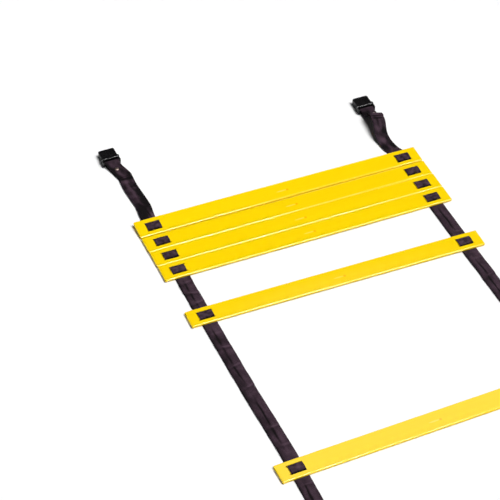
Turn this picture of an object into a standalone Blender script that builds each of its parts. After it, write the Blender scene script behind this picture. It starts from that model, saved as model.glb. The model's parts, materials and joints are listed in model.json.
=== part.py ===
"""Agility ladder: flat rungs threaded on two webbing straps, with half of a release buckle on each end.

X runs along the rungs, +Y towards the socket buckles and +Z up. The origin is on the floor, under the
middle of the whole ladder. Lengths are in metres and angles in degrees. Until the end, places are measured
from the middle of the first rung.
"""

import math

import bmesh
import bpy
from mathutils import Matrix, Vector

# Fits
GAP = 0.0003  # between neighbours that touch on the real ladder
OVERRUN = 0.002  # of a cutter past the face that it opens
EMBED = 0.001  # of a joined piece into its neighbour

# Rungs
RUNG_LENGTH = 0.420
RUNG_WIDTH = 0.0290
RUNG_THICKNESS = 0.0030
RUNG_CORNER_RADIUS = 0.0030
RUNG_EDGE_RADIUS = 0.0010
BRIDGE_WIDTH = 0.0103  # between the two slots that a strap goes through
SLOT_WIDTH = 0.0026
SLOT_END_CLEARANCE = 0.0010  # between a strap's edge and the slot's end
SLOT_SETBACK = 0.0130  # from the rung's end to the slots
PUSHED_UP_GAPS = (0.0019, 0.0004, 0.0006)  # between the rungs that are pushed together
SPREAD_GAPS = (0.0650, 0.2466, 0.3510, 0.3510)  # between the rungs that are drawn out
PUSHED_UP_YAW = -0.71
SPREAD_YAWS = (-1.28, 0.93, 0.0, 0.0)

# Straps. Each is one length of webbing, made as a long run and an end piece that meet under the first rung.
WEB_WIDTH = 0.0200
WEB_THICKNESS = 0.0012
STRAP_LENGTH = 3.0400  # of the straight strap, from bar to bar
DOUBLED_LENGTH = 0.0330  # of the end that is folded back round a bar
HUMPED_DOUBLED_LENGTH = 0.0375  # of the end that stands up in a hump
PINCH_LENGTH = 0.0100  # over which the two layers come together behind the bar
SOCKET_BAR_DISTANCES = {"left": 0.1461, "right": 0.1114}  # from the first rung's middle
PLUG_RUN = 0.1200  # in which the strap comes down from the plug's bar

# The way each strap takes from the socket's bar to the first rung, where it doesn't lie flat and straight.
# Each row gives shares of the run, of the rise above the floor and of the sideways sway.
HUMP_RISE = 0.0160
SIDE_SWAYS = {"left": -0.0055, "right": -0.0074}
BAR_SWAY_SHARES = {"left": 1.0, "right": 0.13}
FLAT_ROUTE_SHARES = (
    (0.08, 0.62, 0.75),
    (0.16, 0.28, 0.45),
    (0.25, 0.07, 0.05),
    (0.38, 0.0, 0.0),
    (0.60, 0.0, -0.15),
    (0.80, 0.0, -0.40),
    (1.00, 0.0, 0.0),
)
HUMP_ROUTE_SHARES = (
    (0.065, 0.210, 0.12),
    (0.115, 0.222, 0.10),
    (0.155, 0.303, 0.08),
    (0.190, 0.541, 0.06),
    (0.220, 0.790, 0.04),
    (0.246, 0.934, 0.03),
    (0.281, 1.000, 0.02),
    (0.337, 0.990, 0.06),
    (0.400, 0.930, 0.17),
    (0.500, 0.740, 0.52),
    (0.600, 0.420, 0.86),
    (0.700, 0.170, 1.00),
    (0.800, 0.060, 0.90),
    (0.900, 0.000, 0.55),
    (1.000, 0.000, 0.00),
)

# Both buckle halves
BUCKLE_HEIGHT = 0.0095
BUCKLE_REAR_WIDTH = 0.0266
BUCKLE_CORNER_RADIUS = 0.0010
BUCKLE_RIM_RADIUS = 0.0007
BAR_DIAMETER = 0.0035
BAR_SLOT = 0.0026  # from the bar to the body, where the strap goes through
ARM_HEIGHT = 0.0070
ARM_OVERHANG = 0.0006  # of the arms past the bar
ARM_CLEARANCE = 0.0005  # between a strap's edge and an arm
ARM_INSET = 0.0003  # of an arm behind the body's side face

# Socket half
SOCKET_BODY_LENGTH = 0.0200
SOCKET_REAR_LENGTH = 0.0042  # of the body's wider part
SOCKET_STEP = 0.0008  # in which the body narrows
MOUTH_WIDTH = 0.0234
SIDE_WALL = 0.0028
SOCKET_FLOOR = 0.00195  # and its roof
SOCKET_BACK = 0.0020
WINDOW_SETBACK = 0.0109  # from the mouth to the window
WINDOW_LENGTH = 0.0050
WINDOW_LIP = 0.0003  # above and below the window, inside the cavity

# Plug half
PLUG_BODY_LENGTH = 0.0070
PRONG_REACH = 0.0173  # from the shoulder to the tip
PRONG_THICKNESS = 0.0022
PRONG_OFFSET = 0.0073  # from the plug's middle to a prong's pivot
PLUG_PLAY = 0.0005  # round the prongs and the tongue in the cavity
TAB_SETBACK = 0.0004  # of a prong's tab inside the socket's side face
TONGUE_WIDTH = 0.0036
TONGUE_LENGTH = 0.0100

# Rivets
RIVET_DISTANCE = 0.0145  # from the bar, along the doubled strap
HUMPED_RIVET_DISTANCE = 0.0232  # on the straight rise of the hump
RIVET_SHANK_DIAMETER = 0.0024
RIVET_HEAD_DIAMETER = 0.0060
RIVET_HEAD_HEIGHT = 0.0011
RIVET_FLANGE_DIAMETER = 0.0048
RIVET_FLANGE_HEIGHT = 0.0004

# Smoothness, in steps
CORNER_STEPS = 3
EDGE_STEPS = 2
BEND_STEPS = 3  # in a quarter turn of the strap through a slot
LOOP_STEPS = 10  # in the half turn round a bar
ROUTE_STEPS = 3  # between two points of a route
ROUND_SIDES = 16

# Colour, roughness and metallic value
FINISHES = {
    "yellow_plastic": ((1.0, 0.68, 0.004), 0.30, 0.0),
    "webbing": ((0.045, 0.025, 0.040), 0.85, 0.0),
    "black_plastic": ((0.010, 0.010, 0.011), 0.35, 0.0),
    "rivet_metal": ((0.75, 0.66, 0.58), 0.28, 1.0),
}

# Worked out from the sizes above
RUNG_UNDERSIDE = WEB_THICKNESS + GAP
RUNG_TOP = RUNG_UNDERSIDE + RUNG_THICKNESS
SLOT_INNER = BRIDGE_WIDTH / 2
SLOT_OUTER = SLOT_INNER + SLOT_WIDTH
SLOT_LENGTH = WEB_WIDTH + 2 * SLOT_END_CLEARANCE
STRAP_MIDDLE = RUNG_LENGTH / 2 - SLOT_SETBACK - SLOT_LENGTH / 2
SIDES = {"left": -STRAP_MIDDLE, "right": STRAP_MIDDLE}
SEAM = (SLOT_OUTER + RUNG_WIDTH / 2) / 2  # from the first rung's middle to where a strap's end piece begins
RUNG_GAPS = PUSHED_UP_GAPS + SPREAD_GAPS
RUNG_YAWS = (PUSHED_UP_YAW,) * (len(PUSHED_UP_GAPS) + 1) + SPREAD_YAWS
RUNG_PLACES = [-sum(RUNG_GAPS[:k]) - k * RUNG_WIDTH for k in range(len(RUNG_GAPS) + 1)]
BAR_RADIUS = BAR_DIAMETER / 2
BAR_HEIGHT = BUCKLE_HEIGHT / 2
WRAP_RADIUS = BAR_RADIUS + GAP + WEB_THICKNESS / 2
LAYER_OFFSET = (WEB_THICKNESS + GAP) / 2  # from the middle of the doubled strap to the middle of a layer
DOUBLED_FLOOR = WEB_THICKNESS / 2 + LAYER_OFFSET
RIVET_SEAT = LAYER_OFFSET + WEB_THICKNESS / 2 + GAP  # from the middle of the doubled strap to a rivet's head
BODY_START = BAR_RADIUS + BAR_SLOT
SOCKET_MOUTH = BODY_START + SOCKET_BODY_LENGTH
SHOULDER = BODY_START + PLUG_BODY_LENGTH
CAVITY_WIDTH = MOUTH_WIDTH - 2 * SIDE_WALL
CAVITY_HEIGHT = BUCKLE_HEIGHT - 2 * SOCKET_FLOOR


def clear_scene():
    for thing in list(bpy.data.objects):
        bpy.data.objects.remove(thing, do_unlink=True)


def material(name):
    colour, roughness, metallic = FINISHES[name]
    made = bpy.data.materials.get(name)
    if made is None:
        made = bpy.data.materials.new(name)
        made.use_nodes = True
        shader = made.node_tree.nodes["Principled BSDF"]
        shader.inputs["Base Color"].default_value = (*colour, 1.0)
        shader.inputs["Roughness"].default_value = roughness
        shader.inputs["Metallic"].default_value = metallic
    return made


def new_object(name, mesh, finish=None):
    thing = bpy.data.objects.new(name, mesh)
    bpy.context.scene.collection.objects.link(thing)
    if finish:
        thing.data.materials.clear()
        thing.data.materials.append(material(finish))
    return thing


def mesh_from(shape, name):
    """A mesh with the bmesh's form, which is freed."""
    mesh = bpy.data.meshes.new(name)
    shape.to_mesh(mesh)
    shape.free()
    return mesh


def box_shape(low, high):
    shape = bmesh.new()
    size = Vector(high) - Vector(low)
    middle = (Vector(high) + Vector(low)) / 2
    placed = Matrix.Translation(middle) @ Matrix.Diagonal((*size, 1.0))
    bmesh.ops.create_cube(shape, size=1.0, matrix=placed)
    return shape


def rod_shape(radius, length, turn):
    """A cylinder about the origin, turned from Z by the matrix."""
    shape = bmesh.new()
    bmesh.ops.create_cone(
        shape,
        cap_ends=True,
        segments=ROUND_SIDES,
        radius1=radius,
        radius2=radius,
        depth=length,
        matrix=turn,
    )
    return shape


def prism_shape(outline, low, high):
    """The outline, given anticlockwise from above, raised from low to high."""
    shape = bmesh.new()
    base = shape.faces.new([shape.verts.new((x, y, low)) for x, y in outline])
    top = bmesh.ops.extrude_face_region(shape, geom=[base])
    raised = [v for v in top["geom"] if isinstance(v, bmesh.types.BMVert)]
    bmesh.ops.translate(shape, verts=raised, vec=(0, 0, high - low))
    bmesh.ops.recalc_face_normals(shape, faces=shape.faces)
    return shape


def is_upright(edge):
    start, end = (v.co for v in edge.verts)
    return (start.xy - end.xy).length < abs(start.z - end.z)


def is_corner(edge):
    """Whether the edge is an upright corner that is about square."""
    return is_upright(edge) and edge.calc_face_angle() > math.radians(75)


def round_edges(shape, edges, radius, steps):
    bmesh.ops.bevel(
        shape,
        geom=edges,
        offset=radius,
        segments=steps,
        profile=0.5,
        affect="EDGES",
        material=-1,
        clamp_overlap=True,
    )


def round_block(shape, corner_radius, rim_radius, corner_steps, rim_steps):
    """Round a block's square upright corners, then its upper and lower rims."""
    round_edges(shape, [e for e in shape.edges if is_corner(e)], corner_radius, corner_steps)
    rims = [e for e in shape.edges if not is_upright(e) and not is_flat_between(e)]
    round_edges(shape, rims, rim_radius, rim_steps)
    return shape


def is_flat_between(edge):
    """Whether the faces on both sides of the edge lie in one plane."""
    return len(edge.link_faces) == 2 and edge.calc_face_angle() < math.radians(1)


def combined(body, others, operation):
    """The body after a Boolean with each of the other objects, which are used up."""
    for other in others:
        step = body.modifiers.new(operation, "BOOLEAN")
        step.operation = operation
        step.solver = "EXACT"
        step.object = other
    bpy.context.view_layer.update()
    seen = body.evaluated_get(bpy.context.evaluated_depsgraph_get())
    mesh = bpy.data.meshes.new_from_object(seen)
    body.modifiers.clear()
    body.data = mesh
    for other in others:
        bpy.data.objects.remove(other, do_unlink=True)
    return body


def cutter(name, shape):
    thing = new_object(name, mesh_from(shape, name))
    thing.hide_render = True
    thing.display_type = "WIRE"
    return thing


def finished_mesh(body, finish):
    """The mesh of a body that was only made for it, with its finish, for all its copies to share."""
    mesh = body.data
    mesh.materials.clear()
    mesh.materials.append(material(finish))
    mesh.shade_smooth()
    mesh.set_sharp_from_angle(angle=math.radians(35))
    bpy.data.objects.remove(body, do_unlink=True)
    return mesh


def placed_copy(name, mesh, parent, place, yaw=0.0):
    thing = bpy.data.objects.new(name, mesh)
    bpy.context.scene.collection.objects.link(thing)
    thing.parent = parent
    thing.location = place
    thing.rotation_euler = (0, 0, math.radians(yaw))
    return thing


def rung_mesh():
    """A rounded plate with its underside at zero and two slots for each strap."""
    half_length, half_width = RUNG_LENGTH / 2, RUNG_WIDTH / 2
    shape = box_shape((-half_length, -half_width, 0), (half_length, half_width, RUNG_THICKNESS))
    round_block(shape, RUNG_CORNER_RADIUS, RUNG_EDGE_RADIUS, CORNER_STEPS, EDGE_STEPS)
    plate = new_object("rung_plate", mesh_from(shape, "rung"))
    cuts = []
    for middle in SIDES.values():
        for inner, outer in ((SLOT_INNER, SLOT_OUTER), (-SLOT_OUTER, -SLOT_INNER)):
            low = (middle - SLOT_LENGTH / 2, inner, -OVERRUN)
            high = (middle + SLOT_LENGTH / 2, outer, RUNG_THICKNESS + OVERRUN)
            cuts.append(cutter("slot_cut", box_shape(low, high)))
    return finished_mesh(combined(plate, cuts, "DIFFERENCE"), "yellow_plastic")


def rung_place(k, middle):
    """Where a strap crosses rung k: its distance along the ladder and the slope of the rung there."""
    slope = math.tan(math.radians(RUNG_YAWS[k]))
    return RUNG_PLACES[k] + middle * slope, slope


def crossing_path(k, middle):
    """The strap's middle line through rung k, from its -Y slot to its +Y slot, as rows of y, z and slope."""
    place, slope = rung_place(k, middle)
    side_gap = (SLOT_WIDTH - WEB_THICKNESS) / 2
    bend = side_gap + WEB_THICKNESS / 2
    low_centre = RUNG_UNDERSIDE + side_gap - GAP
    high_centre = RUNG_TOP - side_gap + GAP
    turns = [math.pi / 2 * i / BEND_STEPS for i in range(BEND_STEPS + 1)]
    up = [(SLOT_OUTER - bend * math.sin(a), low_centre - bend * math.cos(a)) for a in turns]
    over = [(SLOT_INNER + bend * math.cos(a), high_centre + bend * math.sin(a)) for a in turns]
    half = up + over
    rows = [(-v, z) for v, z in half] + half[::-1]
    return [(place + v, z, slope) for v, z in rows]


def smooth_points(points):
    """Points on a smooth curve through the given ones, with an even number of steps between each two."""
    first = 2 * points[0] - points[1]
    last = 2 * points[-1] - points[-2]
    held = [first, *points, last]
    found = []
    for a, b, c, d in zip(held, held[1:], held[2:], held[3:]):
        for i in range(ROUTE_STEPS):
            t = i / ROUTE_STEPS
            square = (2 * a - 5 * b + 4 * c - d) * t**2
            cube = (3 * b - a - 3 * c + d) * t**3
            found.append(b + ((c - a) * t + square + cube) / 2)
    return found + [points[-1]]


def route_middle(run, rise, shares, sway, bar_share):
    """The middle line between the two layers, from the bar to where the strap lies flat.

    Each point holds the distance from the bar, the height and the sideways sway.
    """
    points = [Vector((0, BAR_HEIGHT, sway * bar_share))]
    for run_share, rise_share, sway_share in shares:
        points.append(Vector((run * run_share, DOUBLED_FLOOR + rise * rise_share, sway * sway_share)))
    return smooth_points(points)


def directions(line):
    """The unit direction at each point of the line, seen from the side."""
    steps = [(b.xy - a.xy).normalized() for a, b in zip(line, line[1:])]
    return [steps[0], *[(a + b).normalized() for a, b in zip(steps, steps[1:])], steps[-1]]


def along(line):
    """The length of the line up to each of its points, seen from the side."""
    found = [0.0]
    for a, b in zip(line, line[1:]):
        found.append(found[-1] + (b.xy - a.xy).length)
    return found


def eased(share):
    share = min(max(share, 0.0), 1.0)
    return share * share * (3 - 2 * share)


def layer_points(line, side, reach=None):
    """The middle line of one layer, above (1) or below (-1) the doubled strap's middle line."""
    found = []
    for point, way, length in zip(line, directions(line), along(line)):
        offset = WRAP_RADIUS + (LAYER_OFFSET - WRAP_RADIUS) * eased(length / PINCH_LENGTH)
        normal = Vector((-way.y, way.x))
        if reach is None or length < reach:
            found.append(Vector((*(point.xy + normal * offset * side), point.z)))
    return found


def point_at(line, length):
    """The point and the direction of the line at a length from its start."""
    lengths = along(line)
    i = next(n for n, l in enumerate(lengths) if l >= length)
    share = (length - lengths[i - 1]) / (lengths[i] - lengths[i - 1])
    return line[i - 1].lerp(line[i], share), (line[i].xy - line[i - 1].xy).normalized()


def doubled_end(line, doubled):
    """The strap's middle line at one end, from where it lies flat, round the bar, to its folded-back end."""
    lower = layer_points(line, -1)
    upper = layer_points(line, 1, doubled)
    tip, way = point_at(line, doubled)
    upper.append(Vector((*(tip.xy + Vector((-way.y, way.x)) * LAYER_OFFSET), tip.z)))
    start = directions(line)[0]
    normal = Vector((-start.y, start.x))
    loop = []
    for i in range(1, LOOP_STEPS):
        turn = math.pi * i / LOOP_STEPS
        spot = line[0].xy - (normal * math.cos(turn) + start * math.sin(turn)) * WRAP_RADIUS
        loop.append(Vector((*spot, line[0].z)))
    return lower[::-1] + loop + upper


def strip_mesh(name, line, slopes):
    """A strip of webbing along a line of points, its crosswise lines sloped as given."""
    sides = [p.yz for p in line]
    steps = [(b - a).normalized() for a, b in zip(sides, sides[1:])]
    ways = [steps[0], *[(a + b).normalized() for a, b in zip(steps, steps[1:])], steps[-1]]
    spreads = [1.0, *[1 / way.dot(step) for way, step in zip(ways[1:-1], steps[1:])], 1.0]
    shape = bmesh.new()
    bmesh.ops.create_cube(shape, size=1.0)
    lengthwise = [e for e in shape.edges if abs(e.verts[0].co.y - e.verts[1].co.y) > abs(e.verts[0].co.y)]
    bmesh.ops.subdivide_edges(shape, edges=lengthwise, cuts=len(line) - 2, use_grid_fill=True)
    for v in shape.verts:
        i = round((v.co.y + 1 / 2) * (len(line) - 1))
        across = Vector((1, slopes[i], 0)) * WEB_WIDTH
        normal = Vector((0, -ways[i].y, ways[i].x)) * WEB_THICKNESS * spreads[i]
        v.co = line[i] + across * v.co.x + normal * v.co.z
    return mesh_from(shape, name)


def socket_route(side):
    """The doubled strap's middle line at a socket, and the bar's place."""
    bar = SOCKET_BAR_DISTANCES[side]
    edge = rung_place(0, SIDES[side])[0] + RUNG_WIDTH / 2
    humped = side == "right"
    line = route_middle(
        bar - edge,
        HUMP_RISE if humped else BAR_HEIGHT - DOUBLED_FLOOR,
        HUMP_ROUTE_SHARES if humped else FLAT_ROUTE_SHARES,
        SIDE_SWAYS[side],
        BAR_SWAY_SHARES[side],
    )
    return line, bar


def plug_route():
    """The doubled strap's middle line at a plug, which lies flat and straight."""
    return route_middle(PLUG_RUN, BAR_HEIGHT - DOUBLED_FLOOR, FLAT_ROUTE_SHARES, 0.0, 0.0)


def plug_bar_place(side):
    """Both straps are equally long, so a hump at the socket brings that strap's plug nearer."""
    straight = socket_route("left")[0]
    here, bar = socket_route(side)
    spare = (along(here)[-1] - here[-1].x) - (along(straight)[-1] - straight[-1].x)
    return bar - STRAP_LENGTH + spare


def seam_point(side, offset):
    """A point of the strap's middle line under the first rung, so far past the seam, and the rung's slope."""
    place, slope = rung_place(0, SIDES[side])
    return Vector((SIDES[side], place + SEAM + offset, WEB_THICKNESS / 2)), slope


def strap_run_line(side):
    """A strap's middle line from the plug to the seam, and the slope of the rungs along it."""
    middle = SIDES[side]
    plug_bar = plug_bar_place(side)
    line = [Vector((middle, plug_bar + p.x, p.y)) for p in doubled_end(plug_route(), DOUBLED_LENGTH)[::-1]]
    slopes = [0.0] * len(line)
    for k in reversed(range(len(RUNG_PLACES))):
        for y, z, slope in crossing_path(k, middle):
            line.append(Vector((middle, y, z)))
            slopes.append(slope)
    last, slope = seam_point(side, -GAP / 2)
    return line + [last], slopes + [slope]


def strap_end_line(side):
    """A strap's middle line from the seam to the socket, and the slopes along it."""
    middle = SIDES[side]
    route, socket_bar = socket_route(side)
    doubled = HUMPED_DOUBLED_LENGTH if side == "right" else DOUBLED_LENGTH
    end = [Vector((middle + p.z, socket_bar - p.x, p.y)) for p in doubled_end(route, doubled)]
    first, slope = seam_point(side, GAP / 2)
    return [first] + end, [slope] + [0.0] * len(end)


def rivet_frame(route, middle, bar, facing, distance=RIVET_DISTANCE):
    """The matrix that puts a rivet square through both layers. Facing is 1 at a socket and -1 at a plug."""
    point, way = point_at(route, distance)
    place = Vector((middle + point.z, bar - facing * point.x, point.y))
    up = Vector((0, facing * way.y, way.x))
    side = Vector((1, 0, 0))
    turn = Matrix((side, up.cross(side), up)).transposed()
    return Matrix.LocRotScale(place, turn, None)


def rivet_mesh():
    """A turned rivet, its middle at the middle of the doubled strap."""
    seat = RIVET_SEAT
    shank, head, flange = RIVET_SHANK_DIAMETER / 2, RIVET_HEAD_DIAMETER / 2, RIVET_FLANGE_DIAMETER / 2
    profile = [(0, -seat - RIVET_FLANGE_HEIGHT), (flange, -seat - RIVET_FLANGE_HEIGHT), (flange, -seat)]
    profile += [(shank, -seat), (shank, seat), (head, seat)]
    for i in range(1, CORNER_STEPS + 1):
        turn = math.pi / 2 * i / CORNER_STEPS
        profile.append((head * math.cos(turn), seat + RIVET_HEAD_HEIGHT * math.sin(turn)))
    profile[-1] = (0, seat + RIVET_HEAD_HEIGHT)
    shape = bmesh.new()
    points = [shape.verts.new((r, 0, z)) for r, z in profile]
    edges = [shape.edges.new(pair) for pair in zip(points, points[1:])]
    bmesh.ops.spin(
        shape,
        geom=points + edges,
        cent=(0, 0, 0),
        axis=(0, 0, 1),
        angle=math.tau,
        steps=ROUND_SIDES,
        use_merge=True,
    )
    bmesh.ops.remove_doubles(shape, verts=shape.verts, dist=GAP / 10)
    bmesh.ops.recalc_face_normals(shape, faces=shape.faces)
    body = new_object("rivet_shape", mesh_from(shape, "rivet"))
    return finished_mesh(body, "rivet_metal")


def strap_holder():
    """The two arms and the bar that a strap loops round, as objects to join to a buckle half."""
    inner, outer = WEB_WIDTH / 2 + ARM_CLEARANCE, BUCKLE_REAR_WIDTH / 2 - ARM_INSET
    rear, front = -BAR_RADIUS - ARM_OVERHANG, BODY_START + EMBED
    pieces = []
    for low, high in ((-outer, -inner), (inner, outer)):
        arm = box_shape((low, rear, -ARM_HEIGHT / 2), (high, front, ARM_HEIGHT / 2))
        behind = [e for e in arm.edges if all(v.co.y < 0 for v in e.verts)]
        round_edges(arm, behind, BUCKLE_CORNER_RADIUS, EDGE_STEPS)
        pieces.append(cutter("arm_shape", arm))
    bar = rod_shape(BAR_RADIUS, 2 * inner + 2 * EMBED, Matrix.Rotation(math.pi / 2, 4, "Y"))
    pieces.append(cutter("bar_shape", bar))
    return pieces


def socket_mesh():
    """The socket half, its bar on the origin and its mouth towards +Y."""
    rear, mouth = BUCKLE_REAR_WIDTH / 2, MOUTH_WIDTH / 2
    step = BODY_START + SOCKET_REAR_LENGTH
    right = [(rear, BODY_START), (rear, step), (mouth, step + SOCKET_STEP), (mouth, SOCKET_MOUTH)]
    outline = right + [(-x, y) for x, y in reversed(right)]
    shape = prism_shape(outline, -BAR_HEIGHT, BUCKLE_HEIGHT - BAR_HEIGHT)
    round_block(shape, BUCKLE_CORNER_RADIUS, BUCKLE_RIM_RADIUS, EDGE_STEPS, EDGE_STEPS)
    body = new_object("socket_body", mesh_from(shape, "socket"))
    combined(body, strap_holder(), "UNION")
    half_height = CAVITY_HEIGHT / 2
    cavity = box_shape(
        (-CAVITY_WIDTH / 2, BODY_START + SOCKET_BACK, -half_height),
        (CAVITY_WIDTH / 2, SOCKET_MOUTH + OVERRUN, half_height),
    )
    window_front = SOCKET_MOUTH - WINDOW_SETBACK
    half_window = half_height - WINDOW_LIP
    window = box_shape(
        (-rear - OVERRUN, window_front - WINDOW_LENGTH, -half_window),
        (rear + OVERRUN, window_front, half_window),
    )
    combined(body, [cutter("cavity_cut", cavity), cutter("window_cut", window)], "DIFFERENCE")
    return finished_mesh(body, "black_plastic")


def plug_mesh():
    """The plug half without its prongs, its bar on the origin and its tongue towards +Y."""
    wide, narrow = BUCKLE_REAR_WIDTH / 2, MOUTH_WIDTH / 2
    right = [(wide, BODY_START), (wide, SHOULDER - SOCKET_STEP), (narrow, SHOULDER)]
    outline = right + [(-x, y) for x, y in reversed(right)]
    shape = prism_shape(outline, -BAR_HEIGHT, BUCKLE_HEIGHT - BAR_HEIGHT)
    round_block(shape, BUCKLE_CORNER_RADIUS, BUCKLE_RIM_RADIUS, EDGE_STEPS, EDGE_STEPS)
    body = new_object("plug_body", mesh_from(shape, "plug"))
    half_height = CAVITY_HEIGHT / 2 - PLUG_PLAY
    tongue = box_shape(
        (-TONGUE_WIDTH / 2, SHOULDER - EMBED, -half_height),
        (TONGUE_WIDTH / 2, SHOULDER + TONGUE_LENGTH, half_height),
    )
    combined(body, [*strap_holder(), cutter("tongue_shape", tongue)], "UNION")
    return finished_mesh(body, "black_plastic")


def prong_mesh(outward):
    """A prong from its pivot to its tip along +Y, its tab towards outward, which is 1 or -1 along X."""
    half = PRONG_THICKNESS / 2
    pivot = SHOULDER + GAP + half
    catch = SHOULDER + WINDOW_SETBACK + GAP - pivot
    tab_end = catch + WINDOW_LENGTH - 2 * GAP
    tab = MOUTH_WIDTH / 2 - TAB_SETBACK - PRONG_OFFSET
    tip = SHOULDER + PRONG_REACH - pivot
    turns = [math.pi * i / ROUND_SIDES * 2 for i in range(ROUND_SIDES // 2 + 1)]
    root = [(-half * math.cos(a), -half * math.sin(a)) for a in turns]
    outline = root + [(half, catch), (tab, catch), (tab, tab_end), (half, tip), (-half, tip)]
    height = CAVITY_HEIGHT / 2 - PLUG_PLAY
    shape = prism_shape([(x * outward, y) for x, y in outline[::outward]], -height, height)
    body = new_object("prong_shape", mesh_from(shape, "prong"))
    return finished_mesh(body, "black_plastic")


def build_rungs(ladder):
    mesh = rung_mesh()
    for k, (place, yaw) in enumerate(zip(RUNG_PLACES, RUNG_YAWS)):
        placed_copy(f"rung_{k + 1}", mesh, ladder, (0, place, RUNG_UNDERSIDE), yaw)


def build_rivet(name, mesh, ladder, frame):
    rivet = placed_copy(name, mesh, ladder, frame.to_translation())
    rivet.rotation_euler = frame.to_euler()


def build_strap_piece(name, line, slopes, frame, ladder):
    """A length of strap, with a hole for the rivet whose frame is given."""
    strap = new_object(name, strip_mesh(name, line, slopes), "webbing")
    hole = rod_shape(RIVET_SHANK_DIAMETER / 2 + GAP, 2 * (RIVET_SEAT + OVERRUN), frame)
    combined(strap, [cutter("rivet_hole", hole)], "DIFFERENCE")
    strap.parent = ladder


def build_plug(side, mesh, prongs, ladder):
    """A plug points towards -Y, so it is turned half round, and its prongs with it."""
    bar = plug_bar_place(side)
    middle = SIDES[side]
    half_turn = 180.0
    placed_copy(f"plug_{side}", mesh, ladder, (middle, bar, BAR_HEIGHT), half_turn)
    pivot = bar - SHOULDER - GAP - PRONG_THICKNESS / 2
    for word, across in (("west", -1), ("east", 1)):
        place = (middle + across * PRONG_OFFSET, pivot, BAR_HEIGHT)
        placed_copy(f"prong_{side}_{word}", prongs[across], ladder, place, half_turn)


def main():
    clear_scene()
    ladder = bpy.data.objects.new("ladder", None)
    bpy.context.scene.collection.objects.link(ladder)
    build_rungs(ladder)
    socket, plug, rivet = socket_mesh(), plug_mesh(), rivet_mesh()
    prongs = {across: prong_mesh(-across) for across in (-1, 1)}
    for side, middle in SIDES.items():
        route, bar = socket_route(side)
        distance = HUMPED_RIVET_DISTANCE if side == "right" else RIVET_DISTANCE
        socket_frame = rivet_frame(route, middle, bar, 1, distance)
        plug_frame = rivet_frame(plug_route(), middle, plug_bar_place(side), -1)
        build_strap_piece(f"strap_{side}", *strap_run_line(side), plug_frame, ladder)
        build_strap_piece(f"strap_end_{side}", *strap_end_line(side), socket_frame, ladder)
        build_rivet(f"rivet_socket_{side}", rivet, ladder, socket_frame)
        build_rivet(f"rivet_plug_{side}", rivet, ladder, plug_frame)
        placed_copy(f"socket_{side}", socket, ladder, (middle + route[0].z, bar, BAR_HEIGHT))
        build_plug(side, plug, prongs, ladder)
    farthest = max(SOCKET_BAR_DISTANCES.values()) + SOCKET_MOUTH
    nearest = min(plug_bar_place(side) for side in SIDES) - SHOULDER - PRONG_REACH
    ladder.location = (0, -(farthest + nearest) / 2, 0)


main()
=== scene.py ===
import bisect
import json
import math
import random

import bmesh
import bpy
from mathutils import Matrix, Vector, noise
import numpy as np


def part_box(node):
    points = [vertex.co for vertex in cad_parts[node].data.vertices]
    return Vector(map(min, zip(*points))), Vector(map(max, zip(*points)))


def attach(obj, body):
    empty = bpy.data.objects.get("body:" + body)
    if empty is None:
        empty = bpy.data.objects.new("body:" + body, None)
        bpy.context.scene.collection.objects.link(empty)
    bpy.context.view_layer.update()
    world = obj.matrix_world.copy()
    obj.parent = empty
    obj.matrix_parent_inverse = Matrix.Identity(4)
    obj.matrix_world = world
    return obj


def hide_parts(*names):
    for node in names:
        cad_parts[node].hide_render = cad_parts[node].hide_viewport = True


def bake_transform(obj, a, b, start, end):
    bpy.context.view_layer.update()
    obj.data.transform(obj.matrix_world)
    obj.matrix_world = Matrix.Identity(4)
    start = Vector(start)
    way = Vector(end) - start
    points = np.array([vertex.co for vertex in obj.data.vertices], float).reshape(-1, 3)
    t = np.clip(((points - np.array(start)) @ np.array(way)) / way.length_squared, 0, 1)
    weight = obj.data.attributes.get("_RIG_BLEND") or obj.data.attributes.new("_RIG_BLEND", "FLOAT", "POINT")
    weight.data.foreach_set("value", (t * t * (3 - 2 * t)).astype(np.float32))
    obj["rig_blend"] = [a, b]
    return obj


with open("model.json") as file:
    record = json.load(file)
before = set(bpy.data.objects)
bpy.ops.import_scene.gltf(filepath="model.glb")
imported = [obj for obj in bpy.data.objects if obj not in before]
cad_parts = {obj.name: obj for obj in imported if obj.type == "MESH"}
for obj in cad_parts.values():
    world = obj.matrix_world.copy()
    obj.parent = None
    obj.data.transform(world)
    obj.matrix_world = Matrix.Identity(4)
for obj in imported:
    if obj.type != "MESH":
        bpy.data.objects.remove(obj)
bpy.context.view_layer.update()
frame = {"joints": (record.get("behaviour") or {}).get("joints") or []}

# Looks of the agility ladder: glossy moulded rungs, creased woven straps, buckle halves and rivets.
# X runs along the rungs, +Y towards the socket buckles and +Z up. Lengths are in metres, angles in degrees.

JOINTS = {joint["name"]: joint for joint in frame["joints"]}

# Rounded edges are given as their radius and their number of steps, and a fade as its start and its span.

# Fits
HAIR = 0.0001  # between layers that lie on each other
OVERRUN = 0.002  # of a cutter past the face that it opens
EMBED = 0.001  # of a joined shape into its neighbour
SHARP_TURN = 38.0  # above it an edge is shaded sharp
RIM_TURN = 30.0  # above it a level edge is a rim
BLOCK_TURN = 75.0  # above it an upright edge is a corner

# Rungs
RUNG_COUNT = 8
RUNG_LENGTH = 0.420
RUNG_WIDTH = 0.0290
RUNG_CORNER = (0.0016, 7)
RUNG_TOP_EDGE = (0.0012, 5)
RUNG_UNDER_EDGE = (0.0004, 3)
RUNG_YAWS = (-0.71, -0.71, -0.71, -0.71, -1.28, 0.93, 0.0, 0.0)
RUNG_BEND_STEP = 0.0140  # between the cuts that let a rung bow
RUNG_BOWS = (0.0006, 0.0002, 0.0001, 0.0, 0.0004, 0.0, 0.0, 0.0)  # of a rung's middle past its ends
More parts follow.
